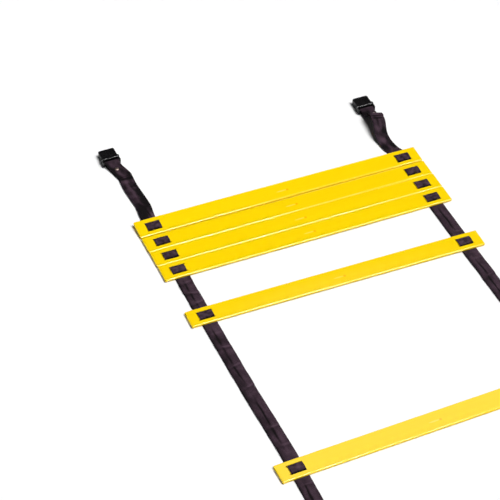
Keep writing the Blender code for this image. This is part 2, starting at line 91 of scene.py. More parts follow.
# Where a rung's long edges have lost their shine: from and to along the rung, and how much.
DULL_EDGES = {1: ((-0.075, 0.178, 1.0),), 2: ((-0.045, 0.190, 0.75),), 3: ((0.090, 0.185, 0.45),)}
DULL_START_FADE = 0.09
DULL_END_FADE = 0.02
RUNG_DULL_BAND = (0.0026, 0.0016)  # from the edge: where the dullness starts and where it is full
RUNG_WEAR_BAND = (0.0022, 0.0004)
RUNG_LIFTS = {1: (0.0034, 0.0010)}  # of a rung's far edge, at its left end and at its right end
BRIDGE_WIDTH = 0.0103
SLOT_WIDTH = 0.0026
SLOT_LENGTH = 0.0220
SLOT_CORNER = (SLOT_WIDTH * 0.42, 4)
SLOT_RIM = (0.00025, 2)
GATE_RADIUS = 0.0016  # of the dimple round the moulding gate
GATE_DEPTH = 0.00020
GATE_PLACE = (0.0100, -0.0014)  # along and across the rung, from its middle
GATE_HIGHLIGHT_REACH = 0.0080  # length of half the painted highlight streak beside the gate
GATE_HIGHLIGHT_WIDTH = 0.0013  # of half of it
GATE_SPOT = (0.0022, 0.0012)  # radii at which the orange spot starts and is full

# Straps
WEB_WIDTH = 0.0200
WEB_SPREAD = 0.035  # share by which a strap lies wider where no buckle holds it in
WEB_THICKNESS = 0.0010
SELVEDGE = (0.00035, 3)
WEB_COLUMNS = 26
SIDES = {"left": -0.1860, "right": 0.1860}
RUN_STEP = 0.0036
FINE_STEP = 0.0011  # near creases and bends
FINE_REACH = 0.0070  # on each side of a crease
GRID_STEP = 0.0020
BEND_REACH = 0.0400  # of the bends near a bar
END_STEP = 0.0010
ARCH_STEP = 0.0006
SOCKET_DOUBLED_LENGTHS = {"left": 0.0330, "right": 0.0375}
PLUG_DOUBLED_LENGTH = 0.0330
PINCH_LENGTH = 0.0100
LAYER_GAP = 0.0003
PLUG_RUN = 0.1200
FLOOR_CLEARANCE = 0.00005
FLOOR_SQUASH = 0.02  # share that is left of what would dip into the floor
CREASE_LIFT = 0.00040
SEAM = 0.0095  # from the first rung's middle to where a strap's end piece begins
LINING_START = -0.0205  # from there the run is slimmer, so that it can lie inside the end piece
LINING_END = 0.0255
LINING_FADE = 0.0040
LINING_SLIMNESS = 0.0001
LINING_THICKNESS = 0.0009
ARCH_SHIFTS = {(4, "left"): -0.0008, (6, "left"): 0.0009}  # of the strap within a rung's slots
LEG_END_HEIGHT = 0.00125  # of the strap's ends below a rung's slots
LEG_NARROWING = 0.055  # share by which a strap is narrower in the slots
ARCH_CROWN = 0.00080  # of the strap's middle over a bridge
ARCH_WANDER = 0.0002
WRINKLE_LIFT = 0.00022
PUCKER_DEPTH = 0.00020  # of the lengthwise pucker over a bridge
PUCKER_REACH = 0.0012
PUCKER_WANDER = 0.003
PUCKER_FADE = (0.001, 0.004)
# Painted shade where a strap dives into a slot fades in over this
SLOT_SHADE_FADE = 0.0012
ARM_HOLD = (0.011, 0.016)  # from the bar: where the buckle's arms let the strap spread
FOLLOW_FADE = (0.004, 0.012)  # from the bar: where a strap starts to turn with its route
BAR_FADE = (0.006, 0.012)  # from the socket's bar: where folds start
RUNG_FADE = (0.0165, 0.006)  # from the first rung's middle: where folds start
END_TONE_FADE = (0.012, 0.004)
RUMPLE_FADE = (0.006, 0.02)  # from the plug's bar: where creases start
BLEND_BAR_GAP = 0.017  # from the bar to where the end piece starts to bend with the first rung
BLEND_RUNG_GAP = 0.002  # from the rung to where it moves wholly with it

# The way each strap takes from the socket's bar to the first rung. Each row gives shares of the run, of the
# rise above the floor and of the sideways sway.
HUMP_RISE = 0.0160
SIDE_SWAYS = {"left": -0.0055, "right": -0.0074}
BAR_SWAY_SHARES = {"left": 1.0, "right": 0.13}
FLAT_ROUTE_SHARES = (
    (0.08, 0.62, 0.75),
    (0.16, 0.28, 0.45),
    (0.25, 0.07, 0.05),
    (0.38, 0.0, 0.0),
    (0.60, 0.0, -0.15),
    (0.80, 0.0, -0.40),
    (1.00, 0.0, 0.0),
)
HUMP_ROUTE_SHARES = (
    (0.065, 0.210, 0.12),
    (0.115, 0.222, 0.10),
    (0.155, 0.303, 0.08),
    (0.190, 0.541, 0.06),
    (0.220, 0.790, 0.04),
    (0.246, 0.934, 0.03),
    (0.281, 1.000, 0.02),
    (0.337, 0.990, 0.06),
    (0.400, 0.930, 0.17),
    (0.500, 0.740, 0.52),
    (0.600, 0.420, 0.86),
    (0.700, 0.170, 1.00),
    (0.800, 0.060, 0.90),
    (0.900, 0.000, 0.55),
    (1.000, 0.000, 0.00),
)
ROUTE_STEPS = 12
LOOP_STEPS = 20
BEND_STEPS = 8

# Where each strap is rolled about its own length, and where its crosswise direction is skewed: distance from
# the first rung, reach on each side, angle.
ROLLS = {"left": ((0.0300, 0.0220, 9.0),), "right": ((0.0650, 0.0500, 17.0),)}
SKEWS = {"left": ((0.1125, 0.0220, -15.0),), "right": ((0.0790, 0.0180, -16.0),)}

# Folds of the loose ends: place across and along, reach across and along, slope, height and tone.
# The tone column paints light and shade: lighter where a fold would catch the light, darker in its shade.
END_FOLDS = {
    "left": (
        (0.0000, 0.0720, 0.0240, 0.0320, 0.00, 0.0024, -0.35),
        (0.0000, 0.0380, 0.0240, 0.0140, 0.00, 0.0016, -0.20),
        (0.0075, 0.0640, 0.0036, 0.0280, 0.00, -0.0004, -0.95),
        (-0.0020, 0.1030, 0.0050, 0.0060, 0.00, 0.0006, 0.95),
        (-0.0025, 0.0760, 0.0030, 0.0200, -0.05, 0.0010, 0.90),
        (-0.0058, 0.0260, 0.0066, 0.0210, 0.16, 0.0000, -1.60),
        (0.0086, 0.0215, 0.0042, 0.0100, -0.30, 0.0008, 2.30),
        (0.0020, 0.0330, 0.0013, 0.0170, -0.34, -0.0003, -1.20),
        (0.0000, 0.1090, 0.0120, 0.0022, -0.27, 0.0000, -1.40),
        (0.0060, 0.1220, 0.0034, 0.0110, 0.00, 0.0004, -0.60),
        (-0.0085, 0.1250, 0.0026, 0.0140, 0.00, 0.0000, -1.40),
        (0.0000, 0.0900, 0.0100, 0.0024, 0.20, 0.0000, -0.50),
    ),
    "right": (
        (0.0000, 0.1000, 0.0160, 0.0110, 0.00, 0.0000, -0.55),
        (-0.0080, 0.0960, 0.0060, 0.0090, 0.00, 0.0000, -1.30),
        (-0.0060, 0.0930, 0.0080, 0.0050, 0.00, 0.0000, -1.80),
        (0.0000, 0.0620, 0.0300, 0.0260, 0.00, 0.0000, -0.20),
        (0.0000, 0.0755, 0.0110, 0.0014, -0.30, 0.0000, -1.00),
        (-0.0010, 0.0850, 0.0080, 0.0040, -0.20, 0.0000, 0.45),
        (-0.0030, 0.0620, 0.0050, 0.0060, 0.00, 0.0000, 0.45),
        (0.0030, 0.0555, 0.0050, 0.0024, 0.50, 0.0000, -0.55),
        (-0.0040, 0.0430, 0.0050, 0.0060, 0.00, 0.0004, 0.75),
        (0.0062, 0.0480, 0.0030, 0.0160, 0.00, 0.0000, -0.95),
        (-0.0060, 0.0290, 0.0060, 0.0070, 0.00, 0.0000, -1.10),
        (0.0070, 0.0250, 0.0034, 0.0090, 0.00, 0.0000, -0.90),
        (0.0010, 0.0260, 0.0024, 0.0080, 0.20, 0.0000, 0.70),
    ),
}
END_SHADES = {"left": 0.22, "right": 0.12}  # painted shade: how much darker each end piece is than plain webbing
# How far an end piece lies sideways of its plain route: distance from the first rung, reach, shift.
END_SWAYS = {"left": ((0.116, 0.034, 0.0021), (0.066, 0.040, 0.0012)), "right": ((0.038, 0.018, 0.0012),)}

# Single cross creases of the straps: distance from the first rung and slope.
SEEN_CREASES = {
    "left": (
        (-0.112, 0.10),
        (-0.133, -0.20),
        (-0.152, 0.15),
        (-0.2395, -0.12),
        (-0.275, 0.20),
        (-0.315, 0.28),
        (-0.388, 0.15),
    ),
    "right": (),
}
# Painted shade and light on them: place across, distance from the first rung, reach across and along, tone.
SEEN_TONES = {
    "left": (
        (0.0, -0.2060, 0.0300, 0.0050, 0.20),
        (0.0035, -0.2130, 0.0065, 0.0017, 0.95),
        (0.0005, -0.2260, 0.0090, 0.0065, -0.70),
        (0.0, -0.4200, 0.0060, 0.0200, 0.30),
        (-0.0060, -0.3000, 0.0026, 0.0800, -0.30),
    ),
    "right": (),
}
# Where a strap wanders sideways between rungs: distance from the first rung, reach on each side, height.
RUN_SWAYS = {"left": ((-0.440, 0.130, 0.0018), (-0.135, 0.070, -0.0005)), "right": ((-0.300, 0.110, 0.0010),)}
RUN_WANDER = 0.0004
CREASES_START = {"left": -0.42, "right": -0.10}  # of the irregular ones, from the first rung
CREASES_END = -2.85
CREASE_SPACING = 0.045  # between them, on average
CREASE_SPAN = 0.012  # on each side, beyond which a crease does nothing
RIDGE_REACH = 0.0013
RIDGE_END_FADE = (0.0070, 0.002)  # across the strap
HOLLOW_PLACE = 0.0036  # beside the ridge
HOLLOW_REACH = 0.0020
KINK_SPAN = 0.02  # of a strap's sideways kink at a crease
KINK_REACH = 0.002
KINK_SHIFT = 0.0008
# The valley that runs along each strap, by its place across it, with painted shade in it
VALLEY_PLACE = -0.0010
VALLEY_WANDERS = (0.0024, 0.0009)  # a slow one and a quick one
VALLEY_REACH = 0.0013
VALLEY_REACH_CHANGE = 0.0008
VALLEY_FADE = (0.004, 0.014)  # from a rung's edge
VALLEY_BREAK_PLACE = 0.0015  # where a crease fills it
VALLEY_BREAK_REACH = 0.0035
BORDER_PLACE = -0.0060  # of the painted shade along the left border
SIDE_FADE = 0.003  # across the strap

# Starting points of the random draws and of the noise
CREASE_SEEDS = {"left": 11, "right": 29}
TONE_SEEDS = {"left": 3.0, "right": 17.0}
WANDER_SEEDS = {"left": 5.0, "right": 23.0}
END_SEEDS = {"left": 61.0, "right": 83.0}
ARCH_SEEDS = {"left": 40.0, "right": 0.0}

# Buckle halves
BUCKLE_HEIGHT = 0.0095
BUCKLE_REAR_WIDTH = 0.0266
BUCKLE_CORNER = (0.0012, 5)
BUCKLE_RIM = (0.0007, 4)
MOUTH_CORNER = (0.0026, 7)
BAR_RADIUS = 0.00175
BAR_CLEARANCE = 0.0003
BAR_SLOT = 0.0026
ARM_HEIGHT = 0.0070
ARM_OVERHANG = 0.0006
ARM_CLEARANCE = 0.0005
ARM_INSET = 0.0003
ARM_CORNER = (BUCKLE_CORNER[0] * 0.8, 4)
SOCKET_BODY_LENGTH = 0.0200
SOCKET_REAR_LENGTH = 0.0042
BODY_STEP = 0.0008
MOUTH_WIDTH = 0.0234
SIDE_WALL = 0.0028
SOCKET_FLOOR = 0.00195
SOCKET_BACK = 0.0020
WINDOW_SETBACK = 0.0109
WINDOW_LENGTH = 0.0050
WINDOW_LIP = 0.0003
WINDOW_CORNER = (0.0006, 4)
RAIL_WIDTH = 0.0007
RAIL_HEIGHT = 0.0004
PLUG_BODY_LENGTH = 0.0070
PRONG_REACH = 0.0173
PRONG_THICKNESS = 0.0022
PRONG_OFFSET = 0.0073
PRONG_CORNER = (0.0004, 3)
PRONG_RIM = (0.0003, 3)
PRONG_TURN = 40.0  # above it an upright edge of a prong is a corner
ROOT_STEPS = 16  # round a prong's root
GRIP_COUNT = 3  # grooves on a prong's tab
GRIP_RADIUS = 0.00022
GRIP_SIDES = 16
PLUG_PLAY = 0.0005
TAB_SETBACK = 0.0004
TONGUE_WIDTH = 0.0036
TONGUE_LENGTH = 0.0100
TONGUE_CORNER = (0.0005, 3)
PART_GAP = 0.0003
WEAR_LEAST_RISE = 0.25  # of a surface's normal, for wear
WEAR_TILTS = (0.02, 0.10)

# Rivets
RIVET_DISTANCE = 0.0145
HUMPED_RIVET_DISTANCE = 0.0232
SHANK_RADIUS = 0.0012
HEAD_RADIUS = 0.0030
HEAD_HEIGHT = 0.0011
FLANGE_RADIUS = 0.0024
FLANGE_HEIGHT = 0.0004
HEAD_RIM_SHARE = 0.25  # of the head's height that stands upright
HEAD_STEPS = 10
RIVET_SIDES = 40

# Colours. Where there are two, the surface varies between them.
WHITE = (1.0, 1.0, 1.0, 1.0)
RUNG_YELLOWS = ((0.985, 0.672, 0.0012), (0.975, 0.660, 0.0009))
RUNG_FLOW_YELLOW = (0.99, 0.682, 0.0020)
RUNG_WORN_YELLOW = (0.99, 0.73, 0.06)
RUNG_SCRATCHED_YELLOW = (0.99, 0.75, 0.06)
# Painted highlight beside the gate
GATE_HIGHLIGHT_YELLOW = (0.99, 0.74, 0.080)
GATE_ORANGE = (0.97, 0.500, 0.0006)
WEB_PURPLES = ((0.040, 0.0225, 0.0335), (0.073, 0.0425, 0.0610))
WEB_DARK = (0.022, 0.0130, 0.0188)
# Painted shade in the grooves between the yarns
WEB_GROOVE_SHADE = (0.008, 0.0045, 0.007)
WEB_LIT = (0.116, 0.068, 0.098)
WEB_FIBRE = (0.070, 0.043, 0.062)
WEB_SHADED = (0.0026, 0.0020, 0.0023)
WEB_SHEEN = (0.80, 0.66, 0.78, 1.0)
BUCKLE_BLACKS = ((0.0040, 0.0037, 0.0041), (0.0064, 0.0060, 0.0065))
BUCKLE_SCRATCHED = (0.045, 0.045, 0.046)
BUCKLE_GRAIN = (0.012, 0.012, 0.0125)
RIVET_COPPERS = ((0.22, 0.165, 0.145), (0.15, 0.115, 0.100))
RIVET_SCRATCHED = (0.16, 0.13, 0.12)
FLOOR_WHITES = ((0.945, 0.945, 0.945), (0.95, 0.95, 0.95))

# Textures
SCRATCH_LINES = ((0.35, 900.0), (-0.9, 700.0), (1.45, 1100.0))  # turn and pitch of each direction
SCRATCH_DRAW = 0.02  # how far a scratch is drawn out
YARN_WIDTH = 0.00125
YARN_LENGTH = 0.00095
YARN_WOBBLE = 0.00025

# Camera, on a sensor as wide as the frame
VIEW_TARGET = Vector((-0.08306, 1.302426, 0.0))
VIEW_AZIMUTH = -23.840
VIEW_ELEVATION = 43.412
VIEW_ROLL = 0.513
VIEW_DISTANCE = 2.8356
VIEW_LENS = 152.963
VIEW_SENSOR = 36.0
VIEW_CLIPS = (0.05, 60.0)

# Light
KEY_PLACE = (0.29, -0.30, 0.91)  # the direction that the key comes from
KEY_LEVEL = 3.70
KEY_SPREAD = 30.0
GLINT_SPREAD = 12.0  # of the light that glossy surfaces show
FILL_LEVEL = 0.012
# What glossy surfaces show, by the sine of the angle above the floor: white walls, a dark ceiling, and a
# wide soft lamp overhead.
WALL_TOP = 0.20
CEILING_START = 0.42
CEILING_TONE = 0.015
LAMP_START = 0.90
LAMP_FULL = 0.95
LAMP_TONE = 1.2
GLOSS_PLACE = (0.18, 1.13, 0.50)  # a round lamp that only glossy surfaces show
GLOSS_SIZE = 1.0
GLOSS_LEVEL = 1.4
FLOOR_GLOW = 0.006  # of the floor as the camera sees it
FLOOR_REACH = 12.0

# Worked out from the sizes above and the frame
RUNG_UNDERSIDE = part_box("rung_1")[0].z
RUNG_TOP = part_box("rung_1")[1].z
RUNG_PLACES = [sum(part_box(f"rung_{k + 1}"), Vector()).y / 2 for k in range(RUNG_COUNT)]
START = RUNG_PLACES[0]
SLOT_INNER = BRIDGE_WIDTH / 2
SLOT_OUTER = SLOT_INNER + SLOT_WIDTH
BAR_HEIGHT = BUCKLE_HEIGHT / 2
WRAP_RADIUS = BAR_RADIUS + BAR_CLEARANCE + WEB_THICKNESS / 2
LAYER_OFFSET = (WEB_THICKNESS + LAYER_GAP) / 2
WEB_MIDDLE = WEB_THICKNESS / 2 + FLOOR_CLEARANCE
DOUBLED_FLOOR = WEB_MIDDLE + LAYER_OFFSET
BODY_START = BAR_RADIUS + BAR_SLOT
SOCKET_MOUTH = BODY_START + SOCKET_BODY_LENGTH
SHOULDER = BODY_START + PLUG_BODY_LENGTH
CAVITY_WIDTH = MOUTH_WIDTH - 2 * SIDE_WALL
CAVITY_HEIGHT = BUCKLE_HEIGHT - 2 * SOCKET_FLOOR


def bar_place(end, side):
    return Vector(JOINTS[f"{end}_{side}_turn"]["pos_m"])


def eased(share):
    share = min(max(share, 0.0), 1.0)
    return share * share * (3 - 2 * share)


def risen(value, start, span):
    """How far a value is past the start of a fade, from 0 to 1 at the end of its span."""
    return eased((value - start) / span)


def bell(away, reach):
    return math.exp(-((away / reach) ** 2))


def wavering(x, y, z=0.0):
    """Smooth noise from -1 to 1."""
    return noise.noise(Vector((x, y, z)))


def swell(place, humps):
    """The sum of smooth humps, each given as its middle, its reach on each side and its height."""
    return sum(height * eased(1 - abs(place - middle) / reach) for middle, reach, height in humps)


def added(name, shape):
    """An object made from a bmesh, which is used up."""
    mesh = bpy.data.meshes.new(name)
    shape.to_mesh(mesh)
    shape.free()
    thing = bpy.data.objects.new(name, mesh)
    bpy.context.scene.collection.objects.link(thing)
    return thing


def finished_piece(name, shape, finish, body=None, replaced=()):
    """A piece made from a bmesh, with its material, which stands for CAD nodes."""
    piece = added(name, shape)
    piece.data.shade_smooth()
    piece.data.set_sharp_from_angle(angle=math.radians(SHARP_TURN))
    piece.data.materials.append(finish)
    if body:
        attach(piece, body)
    if replaced:
        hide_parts(*replaced)
    return piece


def even_out_shading(piece):
    """Keep large flat faces flat beside their rounded edges."""
    step = piece.modifiers.new("flat faces", "WEIGHTED_NORMAL")
    step.keep_sharp = True
    step.weight = 50


# Solid shapes


def combined(body, others, operation):
    """The bmesh of the body after a Boolean with each of the other helpers, which are used up."""
    for other in others:
        step = body.modifiers.new(operation, "BOOLEAN")
        step.operation = operation
        step.solver = "EXACT"
        step.object = other
    bpy.context.view_layer.update()
    seen = body.evaluated_get(bpy.context.evaluated_depsgraph_get())
    mesh = bpy.data.meshes.new_from_object(seen)
    shape = bmesh.new()
    shape.from_mesh(mesh)
    bmesh.ops.remove_doubles(shape, verts=shape.verts, dist=HAIR / 50)
    for other in (body, *others):
        bpy.data.objects.remove(other, do_unlink=True)
    return shape


def box_shape(low, high):
    shape = bmesh.new()
    size = Vector(high) - Vector(low)
    placed = Matrix.Translation((Vector(high) + Vector(low)) / 2) @ Matrix.Diagonal((*size, 1.0))
    bmesh.ops.create_cube(shape, size=1.0, matrix=placed)
    return shape


def rod_shape(radius, length, turn, sides=32, end_radius=None):
    shape = bmesh.new()
    bmesh.ops.create_cone(
        shape,
        cap_ends=True,
        segments=sides,
        radius1=radius,
        radius2=end_radius or radius,
        depth=length,
        matrix=turn,
    )
    return shape


def prism_shape(outline, low, high):
    """The outline, given anticlockwise from above, raised from low to high."""
    shape = bmesh.new()
    shape.faces.new([shape.verts.new((x, y, low)) for x, y in outline])
    raise_faces(shape, high - low)
    bmesh.ops.recalc_face_normals(shape, faces=shape.faces)
    return shape


def raise_faces(shape, height):
    """Extrude all the faces of a flat shape upwards."""
    top = bmesh.ops.extrude_face_region(shape, geom=shape.faces[:])
    raised = [v for v in top["geom"] if isinstance(v, bmesh.types.BMVert)]
    bmesh.ops.translate(shape, verts=raised, vec=(0, 0, height))


def round_edges(shape, edges, radius, steps):
    bmesh.ops.bevel(
        shape,
        geom=edges,
        offset=radius,
        segments=steps,
        profile=0.5,
        affect="EDGES",
        material=-1,
        clamp_overlap=True,
    )


def is_upright(edge):
    start, end = (v.co for v in edge.verts)
    return (start.xy - end.xy).length < abs(start.z - end.z)


def turning(edge):
    """The angle between the two faces at an edge."""
    return edge.calc_face_angle(0.0)


def level_edges(shape, *heights):
    """The sharp edges that lie level at one of the heights."""
    return [
        e
        for height in heights
        for e in shape.edges
        if all(abs(v.co.z - height) < HAIR / 10 for v in e.verts) and turning(e) > math.radians(RIM_TURN)
    ]


def upright_edges(shape, least_turn=0.0):
    return [e for e in shape.edges if is_upright(e) and turning(e) >= math.radians(least_turn)]


def round_block(shape):
    """Round a buckle block's upright corners, then its upper and lower rims."""
    heights = [v.co.z for v in shape.verts]
    round_edges(shape, upright_edges(shape, BLOCK_TURN), *BUCKLE_CORNER)
    round_edges(shape, level_edges(shape, min(heights), max(heights)), *BUCKLE_RIM)


# Shader nodes


def linked(tree, socket, value):
    """Give a socket a value or a link."""
    if isinstance(value, bpy.types.NodeSocket):
        tree.links.new(value, socket)
    elif value is not None:
        socket.default_value = value


def node(tree, kind, inputs=None, **settings):
    made = tree.nodes.new(f"ShaderNode{kind}")
    for name, value in settings.items():
        setattr(made, name, value)
    set_inputs(tree, made, inputs or {})
    return made


def set_inputs(tree, made, values):
    for key, value in values.items():
        linked(tree, made.inputs[key], value)


def calc(tree, operation, *values):
    made = node(tree, "Math", operation=operation)
    for socket, value in zip(made.inputs, values):
        linked(tree, socket, value)
    return made.outputs[0]


def product(tree, first, *others):
    for other in others:
        first = calc(tree, "MULTIPLY", first, other)
    return first


def squared(tree, value):
    return product(tree, value, value)


def ranged(tree, value, low, high, to_low=0.0, to_high=1.0, smooth=True):
    """The value, moved from one range to another and held there."""
    inputs = {"Value": value, "From Min": low, "From Max": high, "To Min": to_low, "To Max": to_high}
    made = node(tree, "MapRange", inputs, clamp=True)
    made.interpolation_type = "SMOOTHSTEP" if smooth else "LINEAR"
    return made.outputs["Result"]


def scaled(tree, value, at_none, at_full):
    """A value from 0 to 1, drawn out evenly to another range."""
    return ranged(tree, value, 0.0, 1.0, at_none, at_full, smooth=False)


def blended(tree, share, a, b):
    made = node(tree, "Mix", data_type="RGBA")
    linked(tree, made.inputs["Factor"], share)
    linked(tree, made.inputs["A"], (*a, 1.0) if isinstance(a, tuple) else a)
    linked(tree, made.inputs["B"], (*b, 1.0) if isinstance(b, tuple) else b)
    return made.outputs["Result"]


def layered(tree, tint, *layers):
    """A colour with others laid over it in turn, each given as its share and its colour."""
    for share, colour in layers:
        tint = blended(tree, share, tint, colour)
    return tint


def stored_value(tree, name):
    return node(tree, "Attribute", attribute_name=name).outputs["Fac"]


def noise_value(tree, place, scale, detail, roughness, distortion=0.0):
    inputs = {"Vector": place, "Scale": scale, "Detail": detail, "Roughness": roughness, "Distortion": distortion}
    return node(tree, "TexNoise", inputs).outputs["Fac"]


def stretched(tree, place, factors, turn=0.0):
    inputs = {"Vector": place, "Scale": factors, "Rotation": (0.0, 0.0, turn)}
    return node(tree, "Mapping", inputs).outputs["Vector"]


def new_group(name, values, results):
    """A node group that takes a place and values and puts out values, and the sockets of its two end nodes."""
    group = bpy.data.node_groups.new(name, "ShaderNodeTree")
    group.interface.new_socket("Place", in_out="INPUT", socket_type="NodeSocketVector")
    for way, words in (("INPUT", values), ("OUTPUT", results)):
        for word in words:
            group.interface.new_socket(word, in_out=way, socket_type="NodeSocketFloat")
    return group, group.nodes.new("NodeGroupInput").outputs, group.nodes.new("NodeGroupOutput").inputs


def use_group(tree, group, **values):
    made = node(tree, "Group", node_tree=group)
    for word, value in values.items():
        linked(tree, made.inputs[word.replace("_", " ")], value)
    return made.outputs


def fine_scratches_group():
    """Hairline scratches in three directions, as a mask."""
    group, given, result = new_group("fine scratches", ["Amount"], ["Mask"])
    masks = []
    for turn, pitch in SCRATCH_LINES:
        long_way = stretched(group, given["Place"], (pitch, pitch * SCRATCH_DRAW, pitch), turn)
        lines = noise_value(group, long_way, 1.0, 2.0, 0.5)
        patches = noise_value(group, given["Place"], 60.0, 2.0, 0.5)
        masks.append(product(group, ranged(group, lines, 0.70, 0.78), ranged(group, patches, 0.45, 0.65)))
    most = calc(group, "MAXIMUM", calc(group, "MAXIMUM", masks[0], masks[1]), masks[2])
    linked(group, result["Mask"], product(group, most, given["Amount"]))
    return group


def patches_group():
    """Broad uneven patches and small ones, each from 0 to 1."""
    group, given, result = new_group("patches", ["Size"], ["Broad", "Small"])
    scale = calc(group, "DIVIDE", 1.0, given["Size"])
    broad = noise_value(group, given["Place"], scale, 3.0, 0.5)
    small = noise_value(group, given["Place"], product(group, scale, 9.0), 4.0, 0.6)
    linked(group, result["Broad"], ranged(group, broad, 0.30, 0.70))
    linked(group, result["Small"], ranged(group, small, 0.30, 0.70))
    return group


def weave_group():
    """A plain weave: yarns along the strap cross over and under yarns across it."""
    group, given, result = new_group("weave", ["Yarn width", "Yarn length"], ["Height"])
    split = node(group, "SeparateXYZ", {"Vector": given["Place"]}).outputs
    across = calc(group, "DIVIDE", split["X"], given["Yarn width"])
    along = calc(group, "DIVIDE", split["Y"], given["Yarn length"])
    parity = calc(group, "ADD", calc(group, "FLOOR", across), calc(group, "FLOOR", along))
    over = calc(group, "PINGPONG", parity, 1.0)
    rounds = [calc(group, "SINE", product(group, calc(group, "FRACT", way), math.pi)) for way in (across, along)]
    lengthwise = product(group, calc(group, "POWER", rounds[0], 0.6), rounds[1], over)
    crosswise = product(group, calc(group, "POWER", rounds[1], 0.6), rounds[0], calc(group, "SUBTRACT", 1.0, over))
    linked(group, result["Height"], calc(group, "ADD", lengthwise, product(group, crosswise, 0.75)))
    return group


def new_material(name):
    """A material with its node tree, its shader and the place on the object."""
    material = bpy.data.materials.new(name)
    material.use_nodes = True
    tree = material.node_tree
    return material, tree, tree.nodes["Principled BSDF"], node(tree, "TexCoord").outputs["Object"]


def bumped(tree, height, strength, distance, below=None):
    made = node(tree, "Bump", {"Strength": strength, "Distance": distance, "Height": height})
    linked(tree, made.inputs["Normal"], below)
    return made.outputs["Normal"]


def rung_material(scratches, patches):
    """Glossy yellow moulded plastic with a little handling wear along its edges and a painted highlight by the gate.
    """
    material, tree, shader, solid = new_material("yellow moulded plastic")
    place = node(tree, "UVMap", uv_map="rung").outputs["UV"]
    uneven = use_group(tree, patches, Place=solid, Size=0.05)
    split = node(tree, "SeparateXYZ", {"Vector": place}).outputs
    to_side = calc(tree, "SUBTRACT", RUNG_WIDTH / 2, calc(tree, "ABSOLUTE", split["Y"]))
    to_end = calc(tree, "SUBTRACT", RUNG_LENGTH / 2, calc(tree, "ABSOLUTE", split["X"]))
    near_edge = ranged(tree, calc(tree, "MINIMUM", to_side, to_end), *RUNG_WEAR_BAND)
    nicks = ranged(tree, noise_value(tree, solid, 420.0, 3.0, 0.6), 0.56, 0.66)
    worn = product(tree, near_edge, nicks)
    hairlines = use_group(tree, scratches, Place=place, Amount=1.0)["Mask"]
    flow = noise_value(tree, stretched(tree, place, (14.0, 120.0, 1.0)), 1.0, 3.0, 0.5)
    gate_x, gate_y = GATE_PLACE
    across = squared(tree, calc(tree, "SUBTRACT", split["Y"], gate_y))
    from_gate = calc(tree, "ADD", squared(tree, calc(tree, "SUBTRACT", split["X"], gate_x)), across)
    # The pale streak beside the gate is a painted highlight.
    along = calc(tree, "DIVIDE", calc(tree, "SUBTRACT", split["X"], gate_x - 1.05 * GATE_HIGHLIGHT_REACH), GATE_HIGHLIGHT_REACH)
    highlight_streak = calc(tree, "ADD", squared(tree, along), calc(tree, "DIVIDE", across, GATE_HIGHLIGHT_WIDTH**2))
    spot_edge, spot_middle = GATE_SPOT
    tint = layered(
        tree,
        blended(tree, uneven["Broad"], *RUNG_YELLOWS),
        (product(tree, ranged(tree, flow, 0.35, 0.70), 0.5), RUNG_FLOW_YELLOW),
        (product(tree, worn, 0.25), RUNG_WORN_YELLOW),
        (product(tree, hairlines, 0.06), RUNG_SCRATCHED_YELLOW),
        (product(tree, ranged(tree, highlight_streak, 1.3, 0.3), 0.8), GATE_HIGHLIGHT_YELLOW),
        (ranged(tree, from_gate, spot_edge**2, spot_middle**2), GATE_ORANGE),
    )
    broken = ranged(tree, noise_value(tree, solid, 90.0, 3.0, 0.6), 0.34, 0.52, 0.6, 1.0)
    dulled = product(tree, stored_value(tree, "dulled"), broken, ranged(tree, to_side, *RUNG_DULL_BAND))
    rough = scaled(tree, uneven["Small"], 0.13, 0.17)
    for share, amount in ((hairlines, 0.12), (worn, 0.15), (dulled, 0.80)):
        rough = calc(tree, "ADD", rough, product(tree, share, amount))
    ripple = noise_value(tree, stretched(tree, place, (18.0, 60.0, 1.0)), 1.0, 2.0, 0.5)
    pores = noise_value(tree, solid, 2600.0, 2.0, 0.5)
    normal = bumped(tree, ripple, 0.3, 0.00010)
    normal = bumped(tree, pores, 0.12, 0.00004, normal)
    normal = bumped(tree, hairlines, 0.25, -0.00003, normal)
    values = {"Base Color": tint, "Roughness": rough, "Specular IOR Level": 0.50, "Normal": normal}
    set_inputs(tree, shader, values)
    return material


